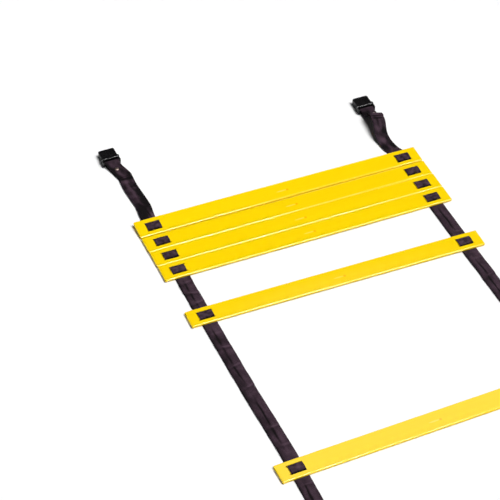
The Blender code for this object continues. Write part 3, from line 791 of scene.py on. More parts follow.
def webbing_material(weave, patches):
    """Dark purple-black woven strap, with the light and shade of its creases also painted into its colour."""
    material, tree, shader, solid = new_material("woven webbing")
    place = node(tree, "UVMap", uv_map="strap").outputs["UV"]
    mottle_and_painted_shading = stored_value(tree, "mottle_and_painted_shading")
    uneven = use_group(tree, patches, Place=solid, Size=0.014)
    wobble = noise_value(tree, place, 700.0, 2.0, 0.5)
    wobble = node(tree, "CombineXYZ", {"X": wobble, "Y": wobble}).outputs[0]
    inputs = {0: wobble, 1: (YARN_WOBBLE, YARN_WOBBLE, 0.0), 2: place}
    shifted = node(tree, "VectorMath", inputs, operation="MULTIPLY_ADD").outputs[0]
    yarns = use_group(tree, weave, Place=shifted, Yarn_width=YARN_WIDTH, Yarn_length=YARN_LENGTH)["Height"]
    fibres = noise_value(tree, stretched(tree, place, (9000.0, 1400.0, 1.0)), 1.0, 3.0, 0.6)
    # Painted light and shade: the stored shading mixes in WEB_LIT and WEB_SHADED, and the yarn grooves get painted
    # shade.
    tint = layered(
        tree,
        blended(tree, uneven["Broad"], *WEB_PURPLES),
        (product(tree, uneven["Small"], 0.45), WEB_DARK),
        (product(tree, ranged(tree, yarns, 0.05, 0.55, 1.0, 0.0), 0.60), WEB_GROOVE_SHADE),
        (scaled(tree, mottle_and_painted_shading, 0.0, 0.55), WEB_LIT),
        (product(tree, ranged(tree, fibres, 0.5, 0.8), 0.25), WEB_FIBRE),
        (ranged(tree, mottle_and_painted_shading, 0.0, -1.0, 0.0, 0.96, smooth=False), WEB_SHADED),
    )
    rumple = noise_value(tree, solid, 95.0, 3.0, 0.5, 0.4)
    normal = None
    for height, strength, depth in ((mottle_and_painted_shading, 0.6, 0.0010), (rumple, 0.8, 0.0014), (yarns, 0.8, 0.00022)):
        normal = bumped(tree, height, strength, depth, normal)
    values = {
        "Base Color": tint,
        "Roughness": scaled(tree, uneven["Small"], 0.62, 0.80),
        "Specular IOR Level": 0.05,
        "Sheen Weight": 0.02,
        "Sheen Roughness": 0.45,
        "Sheen Tint": WEB_SHEEN,
        "Normal": bumped(tree, fibres, 0.35, 0.00006, normal),
    }
    set_inputs(tree, shader, values)
    return material


def buckle_material(scratches, patches):
    """Black moulded plastic with a fine spark-eroded texture, rubbed smoother in places."""
    material, tree, shader, solid = new_material("black moulded plastic")
    uneven = use_group(tree, patches, Place=solid, Size=0.009)
    hairlines = use_group(tree, scratches, Place=solid, Amount=1.0)["Mask"]
    grain = noise_value(tree, solid, 3800.0, 3.0, 0.6)
    rubbed = ranged(tree, noise_value(tree, solid, 420.0, 2.0, 0.5), 0.36, 0.56)
    tint = layered(
        tree,
        blended(tree, uneven["Broad"], *BUCKLE_BLACKS),
        (product(tree, hairlines, 0.30), BUCKLE_SCRATCHED),
        (product(tree, ranged(tree, grain, 0.62, 0.74), 0.15), BUCKLE_GRAIN),
    )
    rough = scaled(tree, uneven["Small"], 0.24, 0.32)
    normal = bumped(tree, grain, 0.35, 0.00005)
    values = {
        "Base Color": tint,
        "Roughness": calc(tree, "SUBTRACT", rough, product(tree, hairlines, 0.1)),
        "Specular IOR Level": 0.14,
        "Coat Weight": product(tree, stored_value(tree, "wear"), rubbed),
        "Coat Roughness": 0.09,
        "Normal": bumped(tree, hairlines, 0.3, -0.00003, normal),
    }
    set_inputs(tree, shader, values)
    return material


def rivet_material(scratches, patches):
    """Coppery metal, tarnished and worn bright in hairlines."""
    material, tree, shader, solid = new_material("bright rivet metal")
    uneven = use_group(tree, patches, Place=solid, Size=0.003)
    hairlines = use_group(tree, scratches, Place=solid, Amount=1.0)["Mask"]
    tint = blended(tree, uneven["Broad"], *RIVET_COPPERS)
    values = {
        "Base Color": blended(tree, product(tree, hairlines, 0.3), tint, RIVET_SCRATCHED),
        "Metallic": 1.0,
        "Roughness": scaled(tree, uneven["Small"], 0.34, 0.46),
        "Normal": bumped(tree, hairlines, 0.4, -0.00003),
    }
    set_inputs(tree, shader, values)
    return material


SCRATCHES, PATCHES, WEAVE = fine_scratches_group(), patches_group(), weave_group()
RUNG_PLASTIC = rung_material(SCRATCHES, PATCHES)
WEBBING = webbing_material(WEAVE, PATCHES)
BUCKLE_PLASTIC = buckle_material(SCRATCHES, PATCHES)
RIVET_METAL = rivet_material(SCRATCHES, PATCHES)


# Rungs


def bow(k, x):
    """How far rung k lies past the line through its ends, along Y."""
    return RUNG_BOWS[k] * (1 / 3 - (2 * x / RUNG_LENGTH) ** 2)


def lifted(k, x, y):
    """How far rung k stands off the strap at a place on it, because its far edge is raised."""
    left, right = RUNG_LIFTS.get(k + 1, (0.0, 0.0))
    share = x / RUNG_LENGTH + 0.5
    return (left + (right - left) * share) * (y / RUNG_WIDTH + 0.5)


def rung_slope(k):
    return math.tan(math.radians(RUNG_YAWS[k]))


def slot_cut(middle, inner, outer, height):
    low = (middle - SLOT_LENGTH / 2, inner, -OVERRUN)
    high = (middle + SLOT_LENGTH / 2, outer, height + OVERRUN)
    shape = box_shape(low, high)
    round_edges(shape, upright_edges(shape), *SLOT_CORNER)
    return added("slot_cut", shape)


def rung_shape():
    """A rung about the origin, its underside at zero."""
    half_length, half_width, height = RUNG_LENGTH / 2, RUNG_WIDTH / 2, RUNG_TOP - RUNG_UNDERSIDE
    shape = box_shape((-half_length, -half_width, 0), (half_length, half_width, height))
    round_edges(shape, upright_edges(shape), *RUNG_CORNER)
    round_edges(shape, level_edges(shape, height), *RUNG_TOP_EDGE)
    round_edges(shape, level_edges(shape, 0), *RUNG_UNDER_EDGE)
    cuts = [
        slot_cut(middle, inner, outer, height)
        for middle in SIDES.values()
        for inner, outer in ((SLOT_INNER, SLOT_OUTER), (-SLOT_OUTER, -SLOT_INNER))
    ]
    gate_middle = Matrix.Translation((*GATE_PLACE, height))
    gate = rod_shape(GATE_RADIUS * 0.8, GATE_DEPTH * 2, gate_middle, end_radius=GATE_RADIUS * 1.2)
    cuts.append(added("gate_cut", gate))
    shape = combined(added("rung_plate", shape), cuts, "DIFFERENCE")
    reach = SLOT_OUTER + HAIR
    mouths = [
        e
        for e in level_edges(shape, height, 0)
        if all(abs(v.co.y) < reach and abs(v.co.x) > RUNG_LENGTH / 4 for v in e.verts)
    ]
    round_edges(shape, mouths, *SLOT_RIM)
    count = int(half_length / RUNG_BEND_STEP)
    for i in range(-count, count + 1):
        geometry = shape.verts[:] + shape.edges[:] + shape.faces[:]
        bmesh.ops.bisect_plane(
            shape, geom=geometry, dist=HAIR / 100, plane_co=(i * RUNG_BEND_STEP, 0, 0), plane_no=(1, 0, 0)
        )
    return shape


def build_rungs():
    pattern = rung_shape()
    layer = pattern.loops.layers.uv.new("rung")
    for face in pattern.faces:
        for loop in face.loops:
            loop[layer].uv = loop.vert.co.xy
    for k in range(RUNG_COUNT):
        shape = pattern.copy()
        store = shape.verts.layers.float.new("dulled")
        for v in shape.verts:
            x, y, _ = v.co
            for start, end, strength in DULL_EDGES.get(k + 1, ()):
                share = strength * risen(x, start, DULL_START_FADE) * eased((end - x) / DULL_END_FADE)
                v[store] = max(v[store], share)
            v.co.z += lifted(k, x, y)
            v.co.y += bow(k, x)
        placed = Matrix.Translation((0, RUNG_PLACES[k], RUNG_UNDERSIDE))
        placed = placed @ Matrix.Rotation(math.radians(RUNG_YAWS[k]), 4, "Z")
        bmesh.ops.transform(shape, matrix=placed, verts=shape.verts)
        name = f"rung_{k + 1}"
        piece = finished_piece(f"moulded_{name}", shape, RUNG_PLASTIC, name, [name])
        even_out_shading(piece)
    pattern.free()


# Webbing


def smooth_points(points):
    """Points on a smooth curve through the given ones, with an even number of steps between each two."""
    held = [2 * points[0] - points[1], *points, 2 * points[-1] - points[-2]]
    found = []
    for a, b, c, d in zip(held, held[1:], held[2:], held[3:]):
        for i in range(ROUTE_STEPS):
            t = i / ROUTE_STEPS
            square = (2 * a - 5 * b + 4 * c - d) * t**2
            cube = (3 * b - a - 3 * c + d) * t**3
            found.append(b + ((c - a) * t + square + cube) / 2)
    return found + [points[-1]]


def distances(points):
    found = [0.0]
    for a, b in zip(points, points[1:]):
        found.append(found[-1] + (b - a).length)
    return found


def ways_along(points):
    steps = [(b - a).normalized() for a, b in zip(points, points[1:])]
    return [steps[0], *[(a + b).normalized() for a, b in zip(steps, steps[1:])], steps[-1]]


def place_along(points, lengths, length):
    """The segment of a line, and the share of it, at a distance along the line."""
    i = max(min(bisect.bisect_left(lengths, length), len(points) - 1) - 1, 0)
    return i, (length - lengths[i]) / max(lengths[i + 1] - lengths[i], HAIR / 100)


def stepped(points, step_at):
    """Distances along a line, in the steps that step_at gives for each point, drawn out to end with the line."""
    lengths = distances(points)
    found = [0.0]
    while found[-1] < lengths[-1]:
        i, share = place_along(points, lengths, found[-1])
        found.append(found[-1] + step_at(points[i].lerp(points[i + 1], share)))
    return [length * lengths[-1] / found[-1] for length in found]


def free_share(distance):
    """How free a strap is of its buckle's arms at a distance from the bar, from 0 to 1."""
    return risen(distance, *ARM_HOLD)


def web_shape(points, acrosses, step_at, width=lambda p: 1.0, thickness=lambda p: 1.0):
    """A closed strip of webbing along a line, its rounded edges included, with a UV map in metres."""
    lengths = stepped(points, step_at)
    held = distances(points)
    spots = [place_along(points, held, length) for length in lengths]
    middles = [points[i].lerp(points[i + 1], share) for i, share in spots]
    across_rows = [acrosses[i].lerp(acrosses[i + 1], share) for i, share in spots]
    ways = ways_along(middles)
    count = len(lengths) - 1
    shape = bmesh.new()
    bmesh.ops.create_grid(shape, x_segments=WEB_COLUMNS, y_segments=count, size=0.5)
    raise_faces(shape, WEB_THICKNESS)
    for v in shape.verts:
        v.co = (v.co.x * WEB_WIDTH, (v.co.y + 0.5) * count, v.co.z - WEB_THICKNESS / 2)
    bmesh.ops.recalc_face_normals(shape, faces=shape.faces)
    edge = WEB_WIDTH / 2 - HAIR / 10
    long_edges = [
        e
        for e in shape.edges
        if turning(e) > math.radians(BLOCK_TURN)
        and all(abs(v.co.x) > edge for v in e.verts)
        and abs(e.verts[0].co.y - e.verts[1].co.y) > 0.5
    ]
    for v in shape.verts:
        v.co.y *= GRID_STEP
    round_edges(shape, long_edges, *SELVEDGE)
    layer = shape.loops.layers.uv.new("strap")
    store = shape.verts.layers.float.new("across")
    flat = {v: (v.co.x, min(max(v.co.y / GRID_STEP, 0), count), v.co.z) for v in shape.verts}

    def at(table, place):
        i = min(int(place), count - 1)
        share = place - i
        return table[i] * (1 - share) + table[i + 1] * share

    for face in shape.faces:
        for loop in face.loops:
            x, place, z = flat[loop.vert]
            side = math.copysign(z, x) if abs(x) > edge - SELVEDGE[0] else 0.0
            loop[layer].uv = (x + side, at(lengths, place))
    for v, (x, place, z) in flat.items():
        v[store] = x
        middle, across = at(middles, place), at(across_rows, place)
        normal = across.cross(at(ways, place).normalized()).normalized()
        v.co = middle + across * (x * width(middle)) + normal * (z * thickness(middle))
    return shape


def rumpled(shape, side, mask):
    """Crease a strap that lies on the floor, and store the painted light and shade of its creases."""
    store = shape.verts.layers.float.new("mottle_and_painted_shading")
    for v in shape.verts:
        u, y = v.co.x - SIDES[side], v.co.y - START
        lift, mottle_and_painted_shading = creases(side, u, y)
        share = mask(v.co)
        v.co.z += lift * share
        v.co.x += sideways(side, y) * share
        v[store] = mottle_and_painted_shading * share


def crease_list(side):
    """Cross creases as rows of place, slope and strength: those in sight, then irregular ones further on."""
    chance = random.Random(CREASE_SEEDS[side])
    found = [(place, slope, 1.0) for place, slope in SEEN_CREASES[side]]
    place = CREASES_START[side]
    while place > CREASES_END:
        found.append((place, chance.uniform(-0.35, 0.35), chance.uniform(0.4, 1.0)))
        place -= CREASE_SPACING * chance.uniform(0.35, 1.6)
    return found


CREASES = {side: crease_list(side) for side in SIDES}


def creases(side, u, y):
    """The lift of the strap at a place on it, and its painted light and shade there, from -1, dark, to 1, light."""
    seed = TONE_SEEDS[side]
    slow, quick = VALLEY_WANDERS
    valley_at = VALLEY_PLACE + slow * wavering(seed, y * 9, 0.5) + quick * wavering(seed, y * 60, 0.2)
    valley_reach = VALLEY_REACH + VALLEY_REACH_CHANGE * wavering(seed, y * 34, 8.0)
    depth = eased(0.75 + 1.5 * wavering(seed, y * 17, 4.0))
    from_rung = min(abs(y + START - place) for place in RUNG_PLACES) - RUNG_WIDTH / 2
    depth *= risen(from_rung, *VALLEY_FADE)
    ridge, hollow = 0.0, 0.0
    for place, slope, strength in CREASES[side]:
        away = y - place - slope * u
        if abs(away) < CREASE_SPAN:
            reach = eased((u - valley_at + 0.002) / SIDE_FADE) * (1 - 0.7 * risen(u, *RIDGE_END_FADE))
            ridge = max(ridge, strength * reach * bell(away, RIDGE_REACH))
            hollow = max(hollow, strength * bell(away + HOLLOW_PLACE, HOLLOW_REACH))
            depth *= 1 - 0.9 * strength * bell(away - VALLEY_BREAK_PLACE, VALLEY_BREAK_REACH)
    valley = depth * bell(u - valley_at, valley_reach)
    soft = wavering(u * 150, y * 55, seed) + 0.6 * wavering(u * 320, y * 150, seed)
    border = eased((BORDER_PLACE - u) / SIDE_FADE)
    lit = eased((u - valley_at) / SIDE_FADE) - 0.5
    lift = CREASE_LIFT * max(0.0, min(1.0, 0.55 + 0.30 * soft + 0.45 * ridge - 0.55 * valley - 0.25 * hollow))
    mottle_and_painted_shading = 0.40 * soft + 0.18 * lit + 0.80 * ridge - 1.15 * valley - 0.35 * hollow - 0.55 * border
    for middle_u, middle_y, reach_u, reach_y, shade in SEEN_TONES[side]:
        mottle_and_painted_shading += shade * math.exp(-(((u - middle_u) / reach_u) ** 2) - ((y - middle_y) / reach_y) ** 2)
    return lift, min(1.0, max(-1.0, mottle_and_painted_shading))


def sideways(side, y):
    """How far the strap wanders from its straight middle line."""
    near = ((y - place, slope) for place, slope, _ in CREASES[side] if abs(y - place) < KINK_SPAN)
    kinks = sum(math.tanh(away / KINK_REACH) * slope for away, slope in near)
    wander = RUN_WANDER * wavering(y * 14, WANDER_SEEDS[side])
    return swell(y, RUN_SWAYS[side]) + wander + KINK_SHIFT * kinks


def sculpted_end(shape, side):
    """Give the loose end of a strap its own folds, with their light and shade painted. The lift fades out near the
    bar and the rung.
    """
    store = shape.verts.layers.float.new("mottle_and_painted_shading")
    crosswise = shape.verts.layers.float["across"]
    bar = bar_place("socket", side)
    for v in shape.verts:
        u, y = v[crosswise], v.co.y - START
        free = risen(bar.y - v.co.y, *BAR_FADE) * risen(y, *RUNG_FADE)
        lift, mottle_and_painted_shading = 0.0, 0.85 * wavering(u * 200, y * 110, END_SEEDS[side]) - END_SHADES[side]
        for middle_u, middle_y, reach_u, reach_y, slope, height, shade in END_FOLDS[side]:
            away = y - middle_y
            across = (u - middle_u - slope * away) / reach_u
            share = math.exp(-(across**2) - (away / reach_y) ** 2)
            lift += height * share
            mottle_and_painted_shading += shade * share
        v.co.z += lift * free
        v.co.x += swell(y, END_SWAYS[side]) * free
        v[store] = min(1.0, max(-1.0, mottle_and_painted_shading)) * risen(y, *END_TONE_FADE)


def route_points(run, rise, shares, sway, bar_share, middle, bar, facing):
    """The middle line of a doubled strap end, from its bar to where the strap lies flat."""
    points = [Vector((0, BAR_HEIGHT, sway * bar_share))]
    for run_share, rise_share, sway_share in shares:
        points.append(Vector((run * run_share, DOUBLED_FLOOR + rise * rise_share, sway * sway_share)))
    return [Vector((middle + p.z, bar - facing * p.x, p.y)) for p in smooth_points(points)]


def line_frames(line, facing, rolls=(), skews=()):
    """The crosswise direction and the upward normal at each point of a line that leaves its bar."""
    found = []
    for point, way, length in zip(line, ways_along(line), distances(line)):
        place = point.y - START
        follow = risen(length, *FOLLOW_FADE)
        way = Vector((way.x * follow, way.y, way.z)).normalized()
        across = Vector((1, math.tan(math.radians(swell(place, skews))) * follow, 0))
        across = (across - way * across.dot(way)).normalized()
        up = across.cross(way).normalized()
        if up.z < 0:
            up = -up
        turn = Matrix.Rotation(math.radians(swell(place, rolls)), 3, way * -facing)
        found.append((turn @ across, turn @ up))
    return found


def doubled_line(line, frames, doubled):
    """The strap's own middle line and crosswise directions: up to the bar, round it and back on top."""
    lower, upper = [], []
    for point, (across, up), length in zip(line, frames, distances(line)):
        offset = WRAP_RADIUS + (LAYER_OFFSET - WRAP_RADIUS) * eased(length / PINCH_LENGTH)
        lower.append((point - up * offset, across))
        if length < doubled:
            upper.append((point + up * offset, across))
    start, (across, up) = line[0], frames[0]
    outward = (start - line[1]).normalized()
    outward = (outward - up * outward.dot(up)).normalized()
    loop = []
    for i in range(1, LOOP_STEPS):
        turn = math.pi * i / LOOP_STEPS
        loop.append((start + (outward * math.sin(turn) - up * math.cos(turn)) * WRAP_RADIUS, across))
    whole = lower[::-1] + loop + upper
    return [p for p, _ in whole], [a for _, a in whole]


def plug_line(side):
    bar = bar_place("plug", side)
    rise = BAR_HEIGHT - DOUBLED_FLOOR
    line = route_points(PLUG_RUN, rise, FLAT_ROUTE_SHARES, 0.0, 0.0, SIDES[side], bar.y, -1)
    return line, line_frames(line, -1)


def socket_line(side):
    bar = bar_place("socket", side)
    humped = side == "right"
    edge = START + SIDES[side] * rung_slope(0) + RUNG_WIDTH / 2
    rise = HUMP_RISE if humped else BAR_HEIGHT - DOUBLED_FLOOR
    shares = HUMP_ROUTE_SHARES if humped else FLAT_ROUTE_SHARES
    sway, bar_share = SIDE_SWAYS[side], BAR_SWAY_SHARES[side]
    line = route_points(bar.y - edge, rise, shares, sway, bar_share, SIDES[side], bar.y, 1)
    return line, line_frames(line, 1, ROLLS[side], SKEWS[side])


def kept_above_floor(shape):
    """Bend whatever would dip into the floor onto it."""
    low = FLOOR_CLEARANCE
    for v in shape.verts:
        if v.co.z < low:
            v.co.z = low + (low - v.co.z) * FLOOR_SQUASH


def build_run(side):
    """The long run of a strap: from round the plug's bar, under the rungs, to inside the end piece."""
    line, frames = plug_line(side)
    points, acrosses = doubled_line(line, frames, PLUG_DOUBLED_LENGTH)
    points, acrosses = points[::-1], acrosses[::-1]
    points.append(Vector((SIDES[side], START, WEB_MIDDLE)))
    acrosses.append(acrosses[-1])
    leaving = [(p, a) for p, (a, _) in zip(*socket_line(side)) if p.y < START + LINING_END]
    for point, across in sorted(leaving, key=lambda row: row[0].y):
        points.append(Vector((point.x, point.y, WEB_MIDDLE)))
        acrosses.append(Vector((across.x, across.y, 0)).normalized())
    bar = bar_place("plug", side)

    def lining(point):
        return eased((point.y - START - LINING_START + LINING_FADE) / LINING_FADE)

    def step_at(point):
        close = any(abs(point.y - START - place) < FINE_REACH for place, _, _ in CREASES[side])
        return FINE_STEP if close or point.y < bar.y + BEND_REACH else RUN_STEP

    shape = web_shape(
        points,
        acrosses,
        step_at,
        width=lambda p: 1 + WEB_SPREAD * free_share(p.y - bar.y) - lining(p) * 2 * LINING_SLIMNESS / WEB_WIDTH,
        thickness=lambda p: 1 - lining(p) * (1 - LINING_THICKNESS / WEB_THICKNESS),
    )
    rumpled(shape, side, lambda co: risen(co.y - bar.y, *RUMPLE_FADE) * (1 - lining(co)))
    finished_piece(f"webbing_run_{side}", shape, WEBBING, "straps", [f"strap_{side}"])


def build_end(side):
    """The end of a strap that bends with the first rung's slide."""
    line, frames = socket_line(side)
    points, acrosses = doubled_line(line, frames, SOCKET_DOUBLED_LENGTHS[side])
    slope = rung_slope(0)
    x = SIDES[side]
    bar = bar_place("socket", side)
    shape = web_shape(
        [Vector((x, START + x * slope + SEAM, WEB_MIDDLE)), *points],
        [Vector((1, slope, 0)).normalized(), *acrosses],
        lambda p: END_STEP,
        width=lambda p: 1 + WEB_SPREAD * free_share(bar.y - p.y),
    )
    sculpted_end(shape, side)
    kept_above_floor(shape)
    piece = finished_piece(f"webbing_end_{side}", shape, WEBBING, None, [f"strap_end_{side}"])
    start = (x, bar.y - BLEND_BAR_GAP, 0)
    end = (x, START + RUNG_WIDTH / 2 + BLEND_RUNG_GAP, 0)
    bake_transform(piece, "straps", "rung_1", start=start, end=end)


def arch_line(k, side):
    """The strap's middle line from below one slot of rung k, over the bridge, to below the other."""
    middle = SIDES[side] + ARCH_SHIFTS.get((k + 1, side), 0.0)
    slope = rung_slope(k)
    place = RUNG_PLACES[k] + middle * slope + bow(k, middle)
    bend = SLOT_WIDTH / 2
    top = RUNG_TOP + HAIR + WEB_THICKNESS / 2
    turns = [math.pi / 2 * i / BEND_STEPS for i in range(BEND_STEPS + 1)]
    half = [(SLOT_INNER + bend, RUNG_UNDERSIDE + HAIR)]
    half += [(SLOT_INNER + bend * math.cos(a), top - bend + bend * math.sin(a)) for a in turns]
    rows = [(v, z + lifted(k, middle, v)) for v, z in [(-v, z) for v, z in half] + half[::-1]]
    rows = [(-SLOT_INNER - bend, LEG_END_HEIGHT), *rows, (SLOT_INNER + bend, LEG_END_HEIGHT)]
    across = Vector((1, slope, 0)).normalized()
    return [Vector((middle, place + v, z)) for v, z in rows], [across] * len(rows), place


def build_arches():
    """The strap over each bridge, which moves with its rung."""
    for side in SIDES:
        for k in range(RUNG_COUNT):
            points, acrosses, place = arch_line(k, side)
            shape = web_shape(points, acrosses, lambda p: ARCH_STEP)
            seed = k * 3.7 + ARCH_SEEDS[side]
            store = shape.verts.layers.float.new("mottle_and_painted_shading")
            for v in shape.verts:
                on_top = eased((v.co.z - RUNG_TOP + 0.0006) / 0.0012)
                u, w = v.co.x - points[0].x, v.co.y - place
                wrinkle = wavering(u * 210, w * 260, seed)
                pucker = bell(u - PUCKER_WANDER * wavering(seed, 0), PUCKER_REACH) * risen(abs(w), *PUCKER_FADE)
                crown = ARCH_CROWN * (1 - (w / SLOT_INNER) ** 2) if abs(w) < SLOT_INNER else 0.0
                v.co.z += on_top * (WRINKLE_LIFT * max(0.0, wrinkle + 0.2) + crown - PUCKER_DEPTH * pucker)
                v.co.x -= u * LEG_NARROWING * (1 - on_top)
                v.co.x += ARCH_WANDER * wavering(w * 150, seed)
                # Painted light and shade: lighter wrinkles on top, painted shade where the strap dives into the
                # slots.
                edge = risen(abs(w), SLOT_INNER, SLOT_SHADE_FADE)
                v[store] = max(-1.0, on_top * (0.20 + 1.1 * wrinkle - 0.6 * pucker) - 0.9 * edge)
            name = f"webbing_over_rung_{k + 1}_{side}"
            finished_piece(name, shape, WEBBING, f"rung_{k + 1}")


# Rivets


def rivet_shape():
    """A turned rivet, its middle at the middle of the doubled strap and its head up."""
    seat = LAYER_OFFSET + WEB_THICKNESS / 2 + HAIR / 2
    rim = HEAD_HEIGHT * HEAD_RIM_SHARE
    profile = [(0, -seat - FLANGE_HEIGHT), (FLANGE_RADIUS * 0.9, -seat - FLANGE_HEIGHT)]
    profile += [(FLANGE_RADIUS, -seat - FLANGE_HEIGHT / 2), (FLANGE_RADIUS, -seat)]
    profile += [(SHANK_RADIUS, -seat), (SHANK_RADIUS, seat), (HEAD_RADIUS, seat), (HEAD_RADIUS, seat + rim)]
    for i in range(1, HEAD_STEPS):
        turn = math.pi / 2 * i / HEAD_STEPS
        profile.append((HEAD_RADIUS * math.cos(turn), seat + rim + (HEAD_HEIGHT - rim) * math.sin(turn)))
    profile.append((0, seat + HEAD_HEIGHT))
    shape = bmesh.new()
    points = [shape.verts.new((r, 0, z)) for r, z in profile]
    edges = [shape.edges.new(pair) for pair in zip(points, points[1:])]
    bmesh.ops.spin(
        shape,
        geom=points + edges,
        cent=(0, 0, 0),
        axis=(0, 0, 1),
        angle=math.tau,
        steps=RIVET_SIDES,
        use_merge=True,
    )
    bmesh.ops.remove_doubles(shape, verts=shape.verts, dist=HAIR / 100)
    bmesh.ops.recalc_face_normals(shape, faces=shape.faces)
    return shape


def build_rivets():
    pattern = rivet_shape()
    for side in SIDES:
        for end, (line, frames) in (("socket", socket_line(side)), ("plug", plug_line(side))):
            lengths = distances(line)
            humped = (end, side) == ("socket", "right")
            distance = HUMPED_RIVET_DISTANCE if humped else RIVET_DISTANCE
            i = next(n for n, length in enumerate(lengths) if length >= distance)
            across, up = frames[i]
            turn = Matrix((across, up.cross(across), up)).transposed()
            name = f"rivet_{end}_{side}"
            shape = pattern.copy()
            placed = Matrix.LocRotScale(line[i], turn, None)
            bmesh.ops.transform(shape, matrix=placed, verts=shape.verts)
            finished_piece(f"domed_{name}", shape, RIVET_METAL, "straps", [name])
    pattern.free()


# Buckle halves


def strap_holder():
    """The two arms and the bar that a strap loops round."""
    inner, outer = WEB_WIDTH / 2 + ARM_CLEARANCE, BUCKLE_REAR_WIDTH / 2 - ARM_INSET
    rear, front = -BAR_RADIUS - ARM_OVERHANG, BODY_START + EMBED
    pieces = []
    for low, high in ((-outer, -inner), (inner, outer)):
        arm = box_shape((low, rear, -ARM_HEIGHT / 2), (high, front, ARM_HEIGHT / 2))
        behind = [e for e in arm.edges if all(v.co.y < 0 for v in e.verts)]
        round_edges(arm, behind, *ARM_CORNER)
        pieces.append(added("arm_shape", arm))
    bar = rod_shape(BAR_RADIUS, 2 * inner + 2 * EMBED, Matrix.Rotation(math.pi / 2, 4, "Y"))
    pieces.append(added("bar_shape", bar))
    return pieces


def mirrored_outline(right):
    return right + [(-x, y) for x, y in reversed(right)]


def socket_shape():
    """The socket half, its bar on the origin and its mouth towards +Y."""
    rear, mouth = BUCKLE_REAR_WIDTH / 2, MOUTH_WIDTH / 2
    step = BODY_START + SOCKET_REAR_LENGTH
    outline = mirrored_outline([(rear, BODY_START), (rear, step), (mouth, step + BODY_STEP), (mouth, SOCKET_MOUTH)])
    shape = prism_shape(outline, -BAR_HEIGHT, BUCKLE_HEIGHT - BAR_HEIGHT)
    front = [e for e in upright_edges(shape) if e.verts[0].co.y > SOCKET_MOUTH - HAIR]
    round_edges(shape, front, *MOUTH_CORNER)
    round_block(shape)
    shape = combined(added("socket_body", shape), strap_holder(), "UNION")
    half_width, half_height = CAVITY_WIDTH / 2, CAVITY_HEIGHT / 2
    front = SOCKET_MOUTH + OVERRUN
    inset = BODY_STEP / 2
    cavity = box_shape((-half_width, BODY_START + SOCKET_BACK, -half_height), (half_width, front, half_height))
    lead_in = box_shape(
        (-half_width - inset, SOCKET_MOUTH - inset, -half_height - inset),
        (half_width + inset, front, half_height + inset),
    )
    side, half_window = rear + OVERRUN, half_height - WINDOW_LIP
    window_front = SOCKET_MOUTH - WINDOW_SETBACK
    window = box_shape((-side, window_front - WINDOW_LENGTH, -half_window), (side, window_front, half_window))
    lengthways = [e for e in window.edges if abs(e.verts[0].co.x - e.verts[1].co.x) > rear]
    round_edges(window, lengthways, *WINDOW_CORNER)
    cuts = [added("cavity_cut", cavity), added("lead_in_cut", lead_in), added("window_cut", window)]
    shape = combined(added("socket_solid", shape), cuts, "DIFFERENCE")
    rails = []
    inside = TONGUE_WIDTH / 2 + PLUG_PLAY
    below = (-half_height - EMBED, -half_height + RAIL_HEIGHT)
    above = (half_height - RAIL_HEIGHT, half_height + EMBED)
    for x in (-inside - RAIL_WIDTH, inside):
        for low, high in (below, above):
            rail = box_shape((x, BODY_START + SOCKET_BACK - EMBED, low), (x + RAIL_WIDTH, SOCKET_MOUTH - EMBED, high))
            rails.append(added("rail_shape", rail))
    return combined(added("socket_solid", shape), rails, "UNION")


def plug_shape():
    """The plug half without its prongs, its bar on the origin and its tongue towards +Y."""
    wide, narrow = BUCKLE_REAR_WIDTH / 2, MOUTH_WIDTH / 2
    outline = mirrored_outline([(wide, BODY_START), (wide, SHOULDER - BODY_STEP), (narrow, SHOULDER)])
    shape = prism_shape(outline, -BAR_HEIGHT, BUCKLE_HEIGHT - BAR_HEIGHT)
    round_block(shape)
    half_width, half_height = TONGUE_WIDTH / 2, CAVITY_HEIGHT / 2 - PLUG_PLAY
    low, high = (-half_width, SHOULDER - EMBED, -half_height), (half_width, SHOULDER + TONGUE_LENGTH, half_height)
    tongue = box_shape(low, high)
    round_edges(tongue, [e for e in tongue.edges if all(v.co.y > SHOULDER for v in e.verts)], *TONGUE_CORNER)
    return combined(added("plug_body", shape), [*strap_holder(), added("tongue_shape", tongue)], "UNION")


def prong_shape(outward):
    """A prong from its pivot to its tip along +Y, its tab towards outward, which is 1 or -1 along X."""
    half = PRONG_THICKNESS / 2
    pivot = SHOULDER + PART_GAP + half
    catch = SHOULDER + WINDOW_SETBACK + PART_GAP - pivot
    tab_end = catch + WINDOW_LENGTH - 2 * PART_GAP
    tab = MOUTH_WIDTH / 2 - TAB_SETBACK - PRONG_OFFSET
    tip = SHOULDER + PRONG_REACH - pivot
    turns = [math.pi * i / ROOT_STEPS for i in range(ROOT_STEPS + 1)]
    root = [(-half * math.cos(a), -half * math.sin(a)) for a in turns]
    outline = root + [(half, catch), (tab, catch), (tab, tab_end), (half, tip), (-half, tip)]
    height = CAVITY_HEIGHT / 2 - PLUG_PLAY
    shape = prism_shape([(x * outward, y) for x, y in outline[::outward]], -height, height)
    round_edges(shape, upright_edges(shape, PRONG_TURN), *PRONG_CORNER)
    round_edges(shape, level_edges(shape, -height, height), *PRONG_RIM)
    grips = []
    for i in range(GRIP_COUNT):
        y = catch + (tab_end - catch) * (i + 1) / (GRIP_COUNT + 1)
        groove = rod_shape(GRIP_RADIUS, 2 * height + OVERRUN, Matrix.Translation((tab * outward, y, 0)), GRIP_SIDES)
        grips.append(added("grip_cut", groove))
    return combined(added("prong_solid", shape), grips, "DIFFERENCE")


def store_wear(shape):
    """Mark the smoothly rounded upper edges, which are rubbed to a shine."""
    shape.normal_update()
    store = shape.verts.layers.float.new("wear")
    for v in shape.verts:
        tilt = 1 - max(abs(part) for part in v.normal)
        smooth = v.normal.z > WEAR_LEAST_RISE and all(turning(e) < math.radians(RIM_TURN) for e in v.link_edges)
        v[store] = risen(tilt, *WEAR_TILTS) if smooth else 0.0


